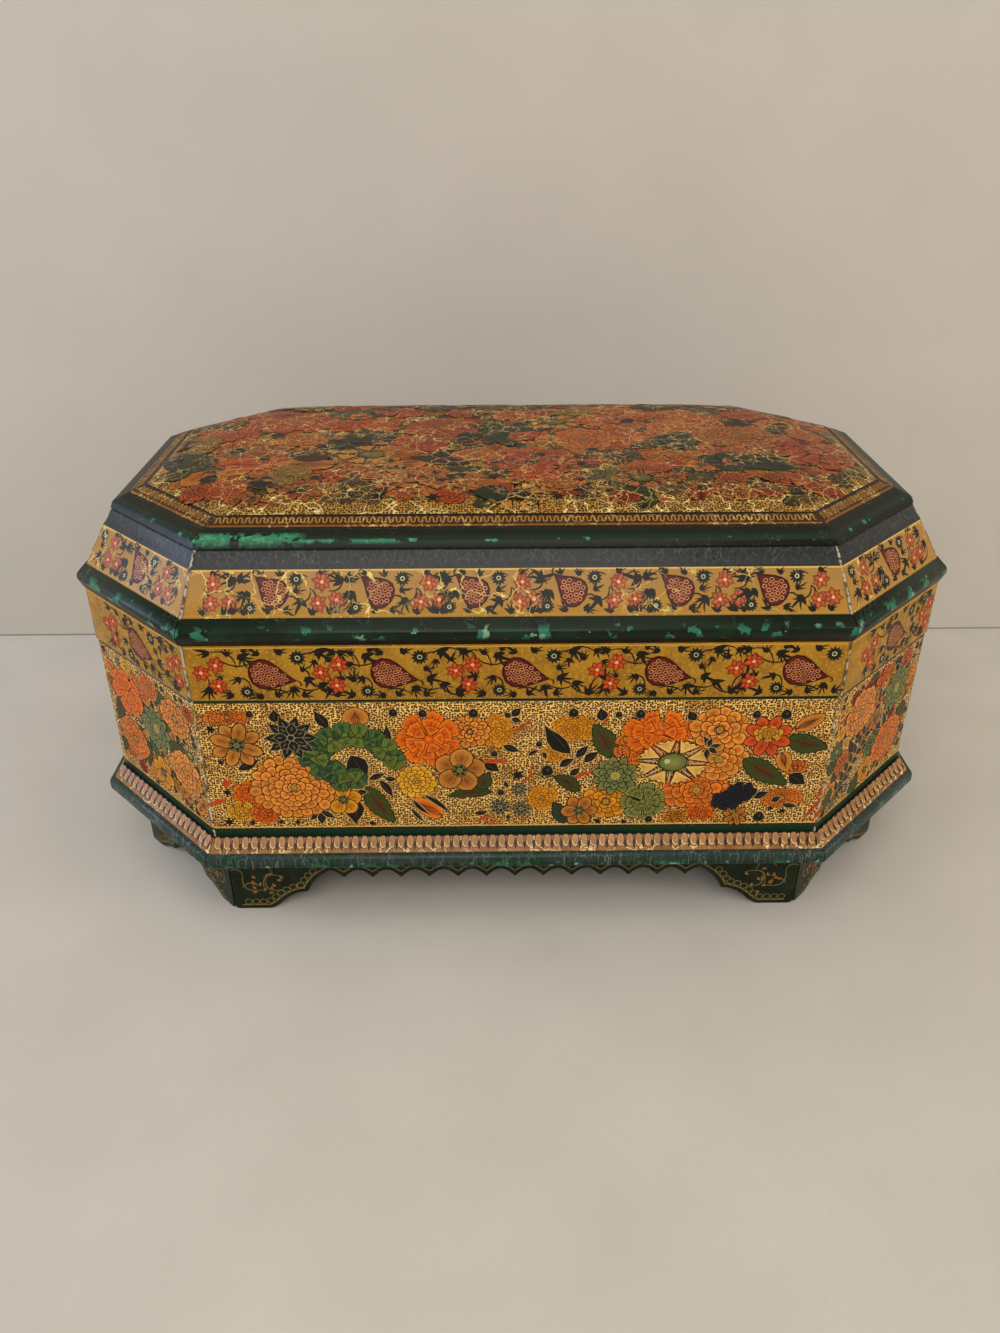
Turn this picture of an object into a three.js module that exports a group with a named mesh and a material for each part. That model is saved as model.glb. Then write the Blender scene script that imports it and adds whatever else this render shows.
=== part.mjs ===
// Octagonal papier-mache casket with a lift-off lid on a scalloped bracket base. Sizes are in millimetres.
// The origin is on the ground under the middle of the casket. X runs along the front, from left to right,
// Y runs from front to back and Z runs up.
//
// Every profile below is drawn as a distance outward from the casket's wall face and a height above the
// ground. Inward distances are negative.
import * as THREE from 'three';
import { mergeVertices } from 'three/addons/utils/BufferGeometryUtils.js';

// Plan of the wall face
const HALF_LENGTH = 165;        // middle to the end face
const HALF_DEPTH = 95.5;        // middle to the front face
const CORNER_CUT = 49.1;        // each corner is cut at 45 degrees by this much, along both faces

// Clearances
const GLUE_GAP = 0.3;           // between pieces that are glued or rest on each other
const COLLAR_PLAY = 0.8;        // between the collar and the inside of the lid

// Bracket base. Distances along a foot start at the corner where two boards meet.
const BRACKET_HEIGHT = 30.1;
const BRACKET_THICKNESS = 8;
const BRACKET_SET_BACK = 4.5;   // outer face of the base behind the wall face
const TOE_END = 17;             // end of the flat that stands on the ground
const CUSP_AT = 30.5;           // the foot's lobe rises from the toe to this cusp
const CUSP_HEIGHT = 8.7;
const ARCH_END = 39.5;          // least distance at which the arch above the cusp meets the apron
const CUT_TOE_END = 10;         // the same on the shorter boards that cross the corners
const CUT_CUSP_AT = 20.5;
const CUT_CUSP_HEIGHT = 4.9;
const CUT_ARCH_HEIGHT = 15.5;   // their two arches meet at this height in the middle
const APRON_VALLEY = 19.6;      // height of the round arches between the apron's points
const APRON_POINT = 15.6;       // height of the points
const APRON_PITCH = 11.4;       // from point to point
const LOBE_PULL = 0.45;         // pull of the lobe's curve, as a share of its length
const ARCH_PULL = 0.23;         // pull of the arch's curve, as shares of its length and rise
const ARCH_LIFT = 0.6;

// Body
const FLOOR_THICKNESS = 6;
const BODY_HEIGHT = 71;         // from the underside of the floor to the seam
const WALL = 5;                 // papier-mache wall
const PLINTH_HEIGHT = 10;
const PLINTH_REACH = 7;         // outermost reach, near the bottom
const PLINTH_UNDERCUT = 0.6;    // the lower edge is rounded back by this much
const PLINTH_STEP_REACH = 4.7;  // where the rounded nose meets the sloping band
const PLINTH_STEP_HEIGHT = 5.7;
const PLINTH_TOP_EDGE = 0.5;    // thickness of the sloping band's upper edge
const COLLAR_THICKNESS = 3;
const COLLAR_DEPTH = 24;        // how far the collar reaches down inside the wall
const COLLAR_STAND = 8;         // how far it stands above the seam
const COLLAR_EASE = 1;          // rounding of the collar's upper edges

// Lid
const SEAM_GAP = 0.3;
const LID_OVERHANG = 0.5;       // the lid stands this much proud of the wall
const SKIRT_HEIGHT = 22.6;
const BEAD_HEIGHT = 9.7;        // half-round bead round the lid
const BEAD_LEAN = 2.2;          // the lid leans in by this much behind the bead
const BEAD_EDGE = 0.4;          // thickness at the bead's edges
const BEAD_SWELL = 2.2;         // how far the bead's middle swells past the line of its edges
const FRIEZE_HEIGHT = 14.7;
const FRIEZE_LEAN = 8.2;
const COVE_HEIGHT = 5.3;
const COVE_LEAN = 3.3;
const COVE_HOLLOW = 0.6;
const RIM_WIDTH = 4.5;          // flat rim that carries the crown

// Crown of the lid
const NOSE_HEIGHT = 2.5;
const NOSE_LEAN = 0.8;
const NOSE_ROUND = 1;           // rounding between the nose and the sloping edge
const EDGE_RUN = 6.2;           // plain sloping edge outside the border
const EDGE_RISE = 2.6;
const BORDER_RUN = 6.1;         // border band
const BORDER_RISE = 2.1;
const CUSHION_RISE = 5.6;       // height of the cushioned field above the border
const CUSHION_SHOULDER = 9;     // the smaller, the quicker the field reaches its height
const CROWN_THICKNESS = 5;

// Fineness of the curved forms
const CURVE_STEPS = 6;
const APRON_STEPS = 3;          // steps from a point of the apron to the top of an arch
const CROWN_STEPS = 3;          // points along each face in a ring of the crown
const FIELD_RINGS = [0.96, 0.9, 0.82, 0.72, 0.56, 0.36, 0.16]; // size of each ring, as a share of the field

// Levels that follow from the sizes above
const FLOOR_Z = BRACKET_HEIGHT + GLUE_GAP;
const WALL_Z = FLOOR_Z + FLOOR_THICKNESS + GLUE_GAP;
const SEAM_Z = FLOOR_Z + BODY_HEIGHT;
const SKIRT_Z = SEAM_Z + SEAM_GAP;
const BEAD_Z = SKIRT_Z + SKIRT_HEIGHT;
const FRIEZE_Z = BEAD_Z + BEAD_HEIGHT;
const COVE_Z = FRIEZE_Z + FRIEZE_HEIGHT;
const RIM_Z = COVE_Z + COVE_HEIGHT;
const CROWN_Z = RIM_Z + GLUE_GAP;
const FIELD_Z = CROWN_Z + NOSE_HEIGHT + EDGE_RISE + BORDER_RISE;

// Distances outward that follow from the sizes above
const LID_INSIDE = LID_OVERHANG - WALL;
const BEAD_TOP_FACE = LID_OVERHANG - BEAD_LEAN;
const FRIEZE_TOP_FACE = BEAD_TOP_FACE - FRIEZE_LEAN;
const RIM_FACE = FRIEZE_TOP_FACE - COVE_LEAN;
const EDGE_FACE = RIM_FACE - NOSE_LEAN;
const FIELD_FACE = EDGE_FACE - EDGE_RUN - BORDER_RUN;

const DIAGONAL = Math.SQRT1_2;
const MITRE = Math.tan(Math.PI / 8);  // how far an end moves along its face for each step outward

// The eight faces, going round from the front. Each has its middle, half its length and its turn from the front.
const STRAIGHT_X = HALF_LENGTH - CORNER_CUT;
const STRAIGHT_Y = HALF_DEPTH - CORNER_CUT;
const CUT_MIDDLE = [HALF_LENGTH - CORNER_CUT / 2, HALF_DEPTH - CORNER_CUT / 2];
const FACES = [
  { name: 'front', middle: [0, -HALF_DEPTH], half: STRAIGHT_X },
  { name: 'front_right', middle: [CUT_MIDDLE[0], -CUT_MIDDLE[1]], half: CORNER_CUT * DIAGONAL, cut: true },
  { name: 'right', middle: [HALF_LENGTH, 0], half: STRAIGHT_Y },
  { name: 'back_right', middle: [CUT_MIDDLE[0], CUT_MIDDLE[1]], half: CORNER_CUT * DIAGONAL, cut: true },
  { name: 'back', middle: [0, HALF_DEPTH], half: STRAIGHT_X },
  { name: 'back_left', middle: [-CUT_MIDDLE[0], CUT_MIDDLE[1]], half: CORNER_CUT * DIAGONAL, cut: true },
  { name: 'left', middle: [-HALF_LENGTH, 0], half: STRAIGHT_Y },
  { name: 'front_left', middle: [-CUT_MIDDLE[0], -CUT_MIDDLE[1]], half: CORNER_CUT * DIAGONAL, cut: true },
].map((face, index) => ({ ...face, turn: index * Math.PI / 4 }));

// Finishes
const papier = (color, roughness) => new THREE.MeshStandardMaterial({ color, roughness, metalness: 0 });
const FLORAL_GROUND = papier(0xc98f3f, 0.35);
const DEEP_GREEN = papier(0x16331f, 0.3);
const COPPER_BAND = papier(0x8a6a3c, 0.35);
const FOOT_GREEN = papier(0x1d2116, 0.4);
const INSIDE_BLACK = papier(0x1a1713, 0.5);
const CROWN_GROUND = papier(0xa8652a, 0.35);

// Names a solid and gives it its finish. Only its places are kept, with the points that faces share joined.
function piece(name, geometry, material) {
  geometry.deleteAttribute('normal');
  geometry.deleteAttribute('uv');
  const solid = mergeVertices(geometry);
  solid.computeVertexNormals();
  const mesh = new THREE.Mesh(solid, material);
  mesh.name = name;
  return mesh;
}

// Puts a piece that was made for a face, with its length along X and its outside towards -Y, on that face.
function onFace(face, mesh) {
  mesh.position.set(face.middle[0], face.middle[1], 0);
  mesh.rotation.z = face.turn;
  return mesh;
}

// Half of the length that a face has at a distance outward, less its share of the gap at the mitre
function mitredHalf(face, outward) {
  return face.half + outward * MITRE - GLUE_GAP / 2;
}

// A length of moulding: its profile is drawn out along the face, and both ends are cut to the mitres.
function mouldingLength(face, profile) {
  const options = { depth: 2, bevelEnabled: false, curveSegments: CURVE_STEPS };
  const geometry = new THREE.ExtrudeGeometry(profile, options);
  const places = geometry.attributes.position;
  for (let i = 0; i < places.count; i++) {
    const outward = places.getX(i);
    const side = 1 - places.getZ(i);
    places.setXYZ(i, side * mitredHalf(face, outward), -outward, places.getY(i));
  }
  return geometry;
}

// A sawn board: its outline is cut from stock of one thickness, and both ends are cut to the mitres.
function sawnBoard(face, outline, outerFace, thickness) {
  const options = { depth: thickness, bevelEnabled: false, curveSegments: CURVE_STEPS };
  const geometry = new THREE.ExtrudeGeometry(outline, options);
  const places = geometry.attributes.position;
  for (let i = 0; i < places.count; i++) {
    const outward = outerFace - thickness + places.getZ(i);
    const half = mitredHalf(face, outward);
    const along = THREE.MathUtils.clamp(places.getX(i), -half, half);
    places.setXYZ(i, along, -outward, places.getY(i));
  }
  return geometry;
}

// A ring of points round the casket at a distance outward, starting at the left end of the front face
function octagon(outward, stepsPerFace = 1) {
  const ring = [];
  for (const face of FACES) {
    const half = face.half + outward * MITRE;
    for (let step = 0; step < stepsPerFace; step++) {
      const place = new THREE.Vector2(half * (2 * step / stepsPerFace - 1), -outward);
      ring.push(place.rotateAround(new THREE.Vector2(0, 0), face.turn).add(new THREE.Vector2(...face.middle)));
    }
  }
  return ring;
}

// A skin over rings of points, each ring going round the casket. With ends, both end rings are closed by
// a point in their middle. Otherwise the last ring joins the first.
function skin(rings, ends) {
  const count = rings[0].length;
  const places = rings.flat().flatMap((point) => [point.x, point.y, point.z]);
  const faces = [];
  const joins = ends ? rings.length - 1 : rings.length;
  for (let r = 0; r < joins; r++) {
    const next = (r + 1) % rings.length;
    for (let k = 0; k < count; k++) {
      const k1 = (k + 1) % count;
      const [a, b] = [r * count + k, r * count + k1];
      const [c, d] = [next * count + k1, next * count + k];
      faces.push(a, b, c, a, c, d);
    }
  }
  if (ends) {
    const last = (rings.length - 1) * count;
    const [first, end] = [places.length / 3, places.length / 3 + 1];
    places.push(0, 0, ends[0], 0, 0, ends[1]);
    for (let k = 0; k < count; k++) {
      const k1 = (k + 1) % count;
      faces.push(k1, k, first, last + k, last + k1, end);
    }
  }
  const geometry = new THREE.BufferGeometry();
  geometry.setAttribute('position', new THREE.Float32BufferAttribute(places, 3));
  geometry.setIndex(faces);
  return geometry;
}

// A closed profile carried all the way round, as on a moulded shell. The profile is drawn anticlockwise.
function mouldedRing(profile) {
  const points = profile.getPoints(CURVE_STEPS);
  if (points[0].distanceTo(points.at(-1)) < 1e-6) points.pop();
  return skin(points.map((point) => level(octagon(point.x), point.y)));
}

// Lifts a flat ring to a height
function level(ring, height) {
  return ring.map((place) => new THREE.Vector3(place.x, place.y, height));
}

// The under edge of half a board, from its corner to its middle: a flat toe, a lobe up to the cusp, an arch
// up to the apron, and the apron's points as far as the middle.
function bracketUnderEdge(face) {
  const toeEnd = face.cut ? CUT_TOE_END : TOE_END;
  const cuspAt = face.cut ? CUT_CUSP_AT : CUSP_AT;
  const cuspHeight = face.cut ? CUT_CUSP_HEIGHT : CUSP_HEIGHT;
  const half = face.half - BRACKET_SET_BACK * MITRE;
  const points = face.cut ? 0 : Math.max(0, Math.floor((half - ARCH_END) / APRON_PITCH + 0.5));
  const archEnd = points > 0 ? half - (points - 0.5) * APRON_PITCH : half;
  const archHeight = face.cut ? CUT_ARCH_HEIGHT : APRON_VALLEY;
  const lobe = cuspAt - toeEnd;
  const arch = archEnd - cuspAt;
  const rise = archHeight - cuspHeight;
  const edge = new THREE.Path();
  edge.moveTo(GLUE_GAP / 2, 0);
  edge.lineTo(toeEnd, 0);
  edge.quadraticCurveTo(toeEnd + lobe * LOBE_PULL, cuspHeight, cuspAt, cuspHeight);
  edge.quadraticCurveTo(cuspAt + arch * ARCH_PULL, cuspHeight + rise * ARCH_LIFT, archEnd, archHeight);
  const outline = edge.getPoints(CURVE_STEPS);
  for (let step = 1; step <= (2 * points - 1) * APRON_STEPS; step++) {
    const along = step / (2 * APRON_STEPS);
    const height = APRON_POINT + (APRON_VALLEY - APRON_POINT) * Math.abs(Math.cos(Math.PI * along));
    outline.push(new THREE.Vector2(archEnd + along * APRON_PITCH, height));
  }
  return outline.map((point) => new THREE.Vector2(half - point.x, point.y));
}

function bracketBoard(face) {
  const right = bracketUnderEdge(face);
  const left = right.map((point) => new THREE.Vector2(-point.x, point.y));
  const corner = right[0].x;
  const outline = new THREE.Shape([
    ...left,
    ...right.slice(0, -1).reverse(),
    new THREE.Vector2(corner, BRACKET_HEIGHT),
    new THREE.Vector2(-corner, BRACKET_HEIGHT),
  ]);
  const board = sawnBoard(face, outline, -BRACKET_SET_BACK, BRACKET_THICKNESS);
  return onFace(face, piece(`bracket_${face.name}`, board, FOOT_GREEN));
}

// The floor is one board, flush with the wall that stands on it.
function floorBoard() {
  const outline = new THREE.Shape(octagon(0));
  const board = new THREE.ExtrudeGeometry(outline, { depth: FLOOR_THICKNESS, bevelEnabled: false });
  board.translate(0, 0, FLOOR_Z);
  return piece('floor_board', board, INSIDE_BLACK);
}

// The plinth moulding hides the joint of floor and wall: a rounded nose below a band that slopes to the wall.
function plinthLength(face) {
  const top = FLOOR_Z + PLINTH_HEIGHT;
  const step = FLOOR_Z + PLINTH_STEP_HEIGHT;
  const profile = new THREE.Shape();
  profile.moveTo(GLUE_GAP, FLOOR_Z);
  profile.lineTo(PLINTH_REACH - PLINTH_UNDERCUT, FLOOR_Z);
  profile.lineTo(PLINTH_REACH, FLOOR_Z + PLINTH_UNDERCUT);
  profile.quadraticCurveTo(PLINTH_REACH, step - PLINTH_UNDERCUT, PLINTH_STEP_REACH, step);
  profile.lineTo(GLUE_GAP + PLINTH_TOP_EDGE, top);
  profile.lineTo(GLUE_GAP, top);
  return onFace(face, piece(`plinth_${face.name}`, mouldingLength(face, profile), COPPER_BAND));
}

// The wall is one shell, laid up in paper over a form.
function bodyWall() {
  const profile = new THREE.Shape();
  profile.moveTo(0, WALL_Z);
  profile.lineTo(0, SEAM_Z);
  profile.lineTo(-WALL, SEAM_Z);
  profile.lineTo(-WALL, WALL_Z);
  return piece('body_wall', mouldedRing(profile), FLORAL_GROUND);
}

// The collar lines the top of the wall and stands above the seam, so that the lid drops over it.
function collarStrip(face) {
  const outer = Math.min(-WALL - GLUE_GAP, LID_INSIDE - COLLAR_PLAY);
  const inner = outer - COLLAR_THICKNESS;
  const top = SEAM_Z + COLLAR_STAND;
  const bottom = SEAM_Z - COLLAR_DEPTH;
  const profile = new THREE.Shape();
  profile.moveTo(inner, bottom);
  profile.lineTo(outer, bottom);
  profile.lineTo(outer, top - COLLAR_EASE);
  profile.quadraticCurveTo(outer, top, outer - COLLAR_EASE, top);
  profile.lineTo(inner + COLLAR_EASE, top);
  profile.quadraticCurveTo(inner, top, inner, top - COLLAR_EASE);
  return onFace(face, piece(`collar_${face.name}`, mouldingLength(face, profile), INSIDE_BLACK));
}

// The lid's walls are one shell: an upright skirt, a lean behind the bead, the sloping frieze and a cove.
function lidShell() {
  const coveMiddle = (FRIEZE_TOP_FACE + RIM_FACE) / 2 - COVE_HOLLOW;
  const profile = new THREE.Shape();
  profile.moveTo(LID_OVERHANG, SKIRT_Z);
  profile.lineTo(LID_OVERHANG, BEAD_Z);
  profile.lineTo(BEAD_TOP_FACE, FRIEZE_Z);
  profile.lineTo(FRIEZE_TOP_FACE, COVE_Z);
  profile.quadraticCurveTo(coveMiddle, COVE_Z + COVE_HEIGHT / 2, RIM_FACE, RIM_Z);
  profile.lineTo(RIM_FACE - RIM_WIDTH, RIM_Z);
  profile.lineTo(FRIEZE_TOP_FACE - RIM_WIDTH, COVE_Z);
  profile.lineTo(BEAD_TOP_FACE - WALL, FRIEZE_Z);
  profile.lineTo(LID_INSIDE, BEAD_Z);
  profile.lineTo(LID_INSIDE, SKIRT_Z);
  return piece('lid_shell', mouldedRing(profile), FLORAL_GROUND);
}

// The bead is a shallow half round that lies on the lid's leaning face.
function beadLength(face) {
  const low = LID_OVERHANG + GLUE_GAP;
  const high = BEAD_TOP_FACE + GLUE_GAP;
  const middle = (low + high) / 2 + BEAD_EDGE;
  const profile = new THREE.Shape();
  profile.moveTo(low, BEAD_Z);
  profile.lineTo(low + BEAD_EDGE, BEAD_Z);
  profile.quadraticCurveTo(middle + 2 * BEAD_SWELL, BEAD_Z + BEAD_HEIGHT / 2, high + BEAD_EDGE, FRIEZE_Z);
  profile.lineTo(high, FRIEZE_Z);
  return onFace(face, piece(`bead_${face.name}`, mouldingLength(face, profile), DEEP_GREEN));
}

// Height of the cushioned field. It rises quickly from all eight edges and is nearly level in the middle.
function fieldHeight(place) {
  let share = 1;
  for (const face of FACES) {
    const outwards = new THREE.Vector2(Math.sin(face.turn), -Math.cos(face.turn));
    const outward = place.clone().sub(new THREE.Vector2(...face.middle)).dot(outwards);
    share *= 1 - Math.exp((outward - FIELD_FACE) / CUSHION_SHOULDER);
  }
  return FIELD_Z + CUSHION_RISE * share;
}

// The crown is a cushioned plate with a plain sloping edge and a border band. It is evenly thick under the field.
function lidCrown() {
  const noseZ = CROWN_Z + NOSE_HEIGHT;
  const borderFace = EDGE_FACE - EDGE_RUN;
  const rim = new THREE.Path();
  rim.moveTo(RIM_FACE - RIM_WIDTH, CROWN_Z);
  rim.lineTo(RIM_FACE, CROWN_Z);
  rim.lineTo(EDGE_FACE, noseZ - NOSE_ROUND);
  rim.quadraticCurveTo(EDGE_FACE, noseZ, EDGE_FACE - NOSE_ROUND, noseZ + NOSE_ROUND * EDGE_RISE / EDGE_RUN);
  rim.lineTo(borderFace, noseZ + EDGE_RISE);
  rim.lineTo(FIELD_FACE, FIELD_Z);
  const edge = octagon(FIELD_FACE, CROWN_STEPS);
  const field = FIELD_RINGS.map((share) => edge.map((place) => place.clone().multiplyScalar(share)));
  const top = field.map((ring) => ring.map((place) => new THREE.Vector3(place.x, place.y, fieldHeight(place))));
  const under = top.map((ring) => ring.map((place) => place.clone().setZ(place.z - CROWN_THICKNESS)));
  const middle = fieldHeight(new THREE.Vector2(0, 0));
  const rimRings = rim.getPoints(CURVE_STEPS).map((point) => level(octagon(point.x, CROWN_STEPS), point.y));
  const rings = [...under.reverse(), ...rimRings, ...top];
  return piece('lid_crown', skin(rings, [middle - CROWN_THICKNESS, middle]), CROWN_GROUND);
}

const body = new THREE.Group();
body.add(floorBoard(), bodyWall());
for (const face of FACES) body.add(bracketBoard(face), plinthLength(face), collarStrip(face));

const lid = new THREE.Group();
lid.add(lidShell(), lidCrown());
for (const face of FACES) lid.add(beadLength(face));

const casket = new THREE.Group();
casket.add(body, lid);

export default casket;
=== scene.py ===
# %% [markdown]
# # A painted papier-mache casket
# The real object is a long octagonal box of papier-mache, painted with flowers on gold, varnished, and set
# on a low wooden bracket base. Its lid lifts off. The model's solids come from the CAD frame, so everything
# here is placed in that frame: metres, X to the right along the front, Y to the back, Z up, ground at zero.
#
# We keep every form where the CAD has it. What Blender adds is softened edges, mouldings with a finer
# round, the paint itself and the varnish over it.

# %% Load the frame
import math
import random

import bmesh
import bpy
import numpy as np
from mathutils import Matrix, Vector


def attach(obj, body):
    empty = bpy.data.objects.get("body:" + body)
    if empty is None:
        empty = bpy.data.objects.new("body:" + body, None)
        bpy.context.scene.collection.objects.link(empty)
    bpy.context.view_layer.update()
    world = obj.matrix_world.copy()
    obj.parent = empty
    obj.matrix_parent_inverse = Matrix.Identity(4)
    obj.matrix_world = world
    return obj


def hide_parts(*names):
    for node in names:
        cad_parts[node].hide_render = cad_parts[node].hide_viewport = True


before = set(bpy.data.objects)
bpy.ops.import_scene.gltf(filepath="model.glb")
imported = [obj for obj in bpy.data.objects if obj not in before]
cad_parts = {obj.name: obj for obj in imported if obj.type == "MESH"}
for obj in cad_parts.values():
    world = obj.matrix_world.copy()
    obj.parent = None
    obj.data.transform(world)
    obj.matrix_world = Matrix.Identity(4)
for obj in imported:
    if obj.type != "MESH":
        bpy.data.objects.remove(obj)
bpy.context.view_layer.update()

# %% [markdown]
# ## The eight faces
# The plan is a rectangle with its corners cut at 45 degrees. A length of moulding or a panel of painting is
# easiest to think of lying flat in front of us, so each face gets a matrix that carries such flat work to
# its place: X along the face, -Y outward, Z up. The sizes repeat the CAD's named values, in millimetres.

# %% Faces
MM = 0.001
HALF_LENGTH = 165.0
HALF_DEPTH = 95.5
CORNER_CUT = 49.1
MITRE = math.tan(math.pi / 8)
GLUE_GAP = 0.3

CUT_HALF = CORNER_CUT * math.sqrt(0.5)
CUT_X = HALF_LENGTH - CORNER_CUT / 2
CUT_Y = HALF_DEPTH - CORNER_CUT / 2
FRONT_HALF = HALF_LENGTH - CORNER_CUT
END_HALF = HALF_DEPTH - CORNER_CUT
FACES = {}
for index, (name, x, y, half) in enumerate((
    ("front", 0, -HALF_DEPTH, FRONT_HALF),
    ("front_right", CUT_X, -CUT_Y, CUT_HALF),
    ("right", HALF_LENGTH, 0, END_HALF),
    ("back_right", CUT_X, CUT_Y, CUT_HALF),
    ("back", 0, HALF_DEPTH, FRONT_HALF),
    ("back_left", -CUT_X, CUT_Y, CUT_HALF),
    ("left", -HALF_LENGTH, 0, END_HALF),
    ("front_left", -CUT_X, -CUT_Y, CUT_HALF),
)):
    turn = Matrix.Rotation(index * math.pi / 4, 4, "Z")
    FACES[name] = {
        "index": index,
        "half": half,
        "place": Matrix.Translation((x * MM, y * MM, 0)) @ turn,
        "outward": turn @ Vector((0, -1, 0)),
    }
print("faces:", ", ".join(FACES))

# %% [markdown]
# Heights and distances outward from the wall's face, again in millimetres and from the CAD.

# %% Levels
FLOOR_Z = 30.4
PLINTH_TOP = 41.1
PLINTH_REACH = 7.0
PLINTH_STEP_REACH = 4.7
PLINTH_STEP_Z = FLOOR_Z + 5.7
BEAD_Z = 124.3
FRIEZE_Z = 134.0
COVE_Z = 148.7
CROWN_Z = 154.3
BORDER_Z = 159.4
FIELD_Z = 161.5
LID_FACE = 0.5
BEAD_TOP_FACE = -1.7
FRIEZE_TOP_FACE = -9.9
EDGE_FACE = -14.0
BORDER_FACE = -20.2
FIELD_FACE = -26.3
CUSHION_RISE = 5.15
CUSHION_SHOULDER = 9.0
CROWN_THICKNESS = 5.0
print("top of the cushion's border at", FIELD_Z, "mm")

# %% [markdown]
# ## Small helpers
# Operators act on whatever is selected, and loading the frame leaves its nodes selected. So each step
# starts by choosing one object, and faces or edges are picked by where they are or which way they look.

# %% Helpers for modelling
def pick(piece):
    if bpy.context.object and bpy.context.object.mode != "OBJECT":
        bpy.ops.object.mode_set(mode="OBJECT")
    bpy.ops.object.select_all(action="DESELECT")
    bpy.context.view_layer.objects.active = piece
    piece.select_set(True)


def select(piece, kind, test):
    """In edit mode, selects the faces or edges whose test is true."""
    bpy.ops.mesh.select_mode(type=kind)
    bpy.ops.mesh.select_all(action="DESELECT")
    shape = bmesh.from_edit_mesh(piece.data)
    for part in shape.faces if kind == "FACE" else shape.edges:
        part.select_set(bool(test(part)))
    bmesh.update_edit_mesh(piece.data)


def cut_off(place, outward, close=True):
    """In edit mode, saws off what lies past a plane and closes the cut."""
    bpy.ops.mesh.select_all(action="SELECT")
    bpy.ops.mesh.bisect(plane_co=place, plane_no=outward, use_fill=close, clear_outer=True)


def soften(piece, width, segments=3, angle=25):
    """A bevel on every edge sharper than the angle, applied, then smooth shading between soft edges."""
    pick(piece)
    bevel = piece.modifiers.new("soft edges", "BEVEL")
    bevel.width = width * MM
    bevel.segments = segments
    bevel.limit_method = "ANGLE"
    bevel.angle_limit = math.radians(angle)
    bpy.ops.object.modifier_apply(modifier=bevel.name)
    bpy.ops.object.shade_smooth_by_angle(angle=math.radians(30))


def new_object(name, data):
    """Puts a mesh or a lamp into the scene."""
    thing = bpy.data.objects.new(name, data)
    bpy.context.scene.collection.objects.link(thing)
    return thing


def merged_copy(node_name, piece_name):
    """A copy of a CAD node with its loose triangles joined into whole faces."""
    piece = new_object(piece_name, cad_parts[node_name].data.copy())
    pick(piece)
    bpy.ops.object.mode_set(mode="EDIT")
    bpy.ops.mesh.select_all(action="SELECT")
    bpy.ops.mesh.remove_doubles(threshold=0.002 * MM)
    bpy.ops.mesh.dissolve_limited(angle_limit=math.radians(0.5))
    bpy.ops.object.mode_set(mode="OBJECT")
    piece.data.materials.clear()
    return piece


def apply_place(piece):
    pick(piece)
    bpy.ops.object.transform_apply(location=True, rotation=True, scale=True)


made = {}
print("helpers ready")

# %% [markdown]
# ## Two maps for the paint
# Dots and worn corners follow the faces, so they can't be drawn in plain XYZ. Each painted shell gets a map
# "facet", which unrolls its faces side by side in real metres, and a map "corner", which holds the distance
# from the left and the right end of the face. A corner's wear then needs only the smaller of the two.

# %% Helper for the maps
def lay_maps(piece):
    mesh = piece.data
    facet = mesh.uv_layers.new(name="facet").uv
    corner = mesh.uv_layers.new(name="corner").uv
    back = {name: face["place"].inverted() for name, face in FACES.items()}
    for polygon in mesh.polygons:
        name = max(FACES, key=lambda n: polygon.normal.dot(FACES[n]["outward"])
                   + 2 * polygon.center.dot(FACES[n]["outward"])
                   - 2 * FACES[n]["place"].translation.dot(FACES[n]["outward"]))
        face = FACES[name]
        for loop in polygon.loop_indices:
            at = back[name] @ mesh.vertices[mesh.loops[loop].vertex_index].co
            half = face["half"] * MM - at.y * MITRE
            facet[loop].vector = (at.x + 0.3 * face["index"], at.z)
            corner[loop].vector = (half + at.x, half - at.x)


print("map helper ready")

# %% [markdown]
# ## Wall and lid shell
# The wall is one shell of pasted paper, rubbed down and painted, so its corners are never knife-sharp. We
# take the CAD's shells and round every edge by less than a millimetre. The lid shell has the upright skirt,
# the sloping frieze and the hollow cove in one.

# %% Wall and lid shell
for node, name, width in (("body_wall", "painted_wall", 0.9), ("lid_shell", "painted_lid_shell", 0.7)):
    piece = merged_copy(node, name)
    soften(piece, width)
    lay_maps(piece)
    made[name] = piece
    print(name, len(piece.data.polygons), "faces")

# %% [markdown]
# ## Crown
# The crown is the lid's top: a low nose, a plain sloping edge, a border band and a cushion that swells
# quickly from all eight sides. Its height depends only on how far a point lies inside each face, so we can
# start from a fine grid, saw its corners off, lift every point to its height and then give the sheet its
# thickness. The first lines inside the rim round the nose.

# %% Height of the crown
def inside_by(x, y):
    """How far inside each of the eight wall faces a point lies, in mm. Works on arrays."""
    x, y = np.asarray(x, float), np.asarray(y, float)
    places = []
    for face in FACES.values():
        middle, out = face["place"].translation / MM, face["outward"]
        places.append((middle.x - x) * out.x + (middle.y - y) * out.y)
    return np.array(places)


RIM_LINES = (
    (-EDGE_FACE, 156.15), (14.35, 156.72), (14.9, 157.12), (-BORDER_FACE, BORDER_Z), (-FIELD_FACE, FIELD_Z))


def crown_height(x, y):
    """Height of the crown's upper side above the ground, in mm."""
    inside = inside_by(x, y)
    slope = np.interp(inside.min(axis=0), *zip(*RIM_LINES))
    swell = 1 - np.exp(-np.maximum(inside + FIELD_FACE, 0) / CUSHION_SHOULDER)
    return slope + CUSHION_RISE * swell.prod(axis=0)


print("middle of the crown:", round(float(crown_height(0, 0)), 2), "mm")

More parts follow.
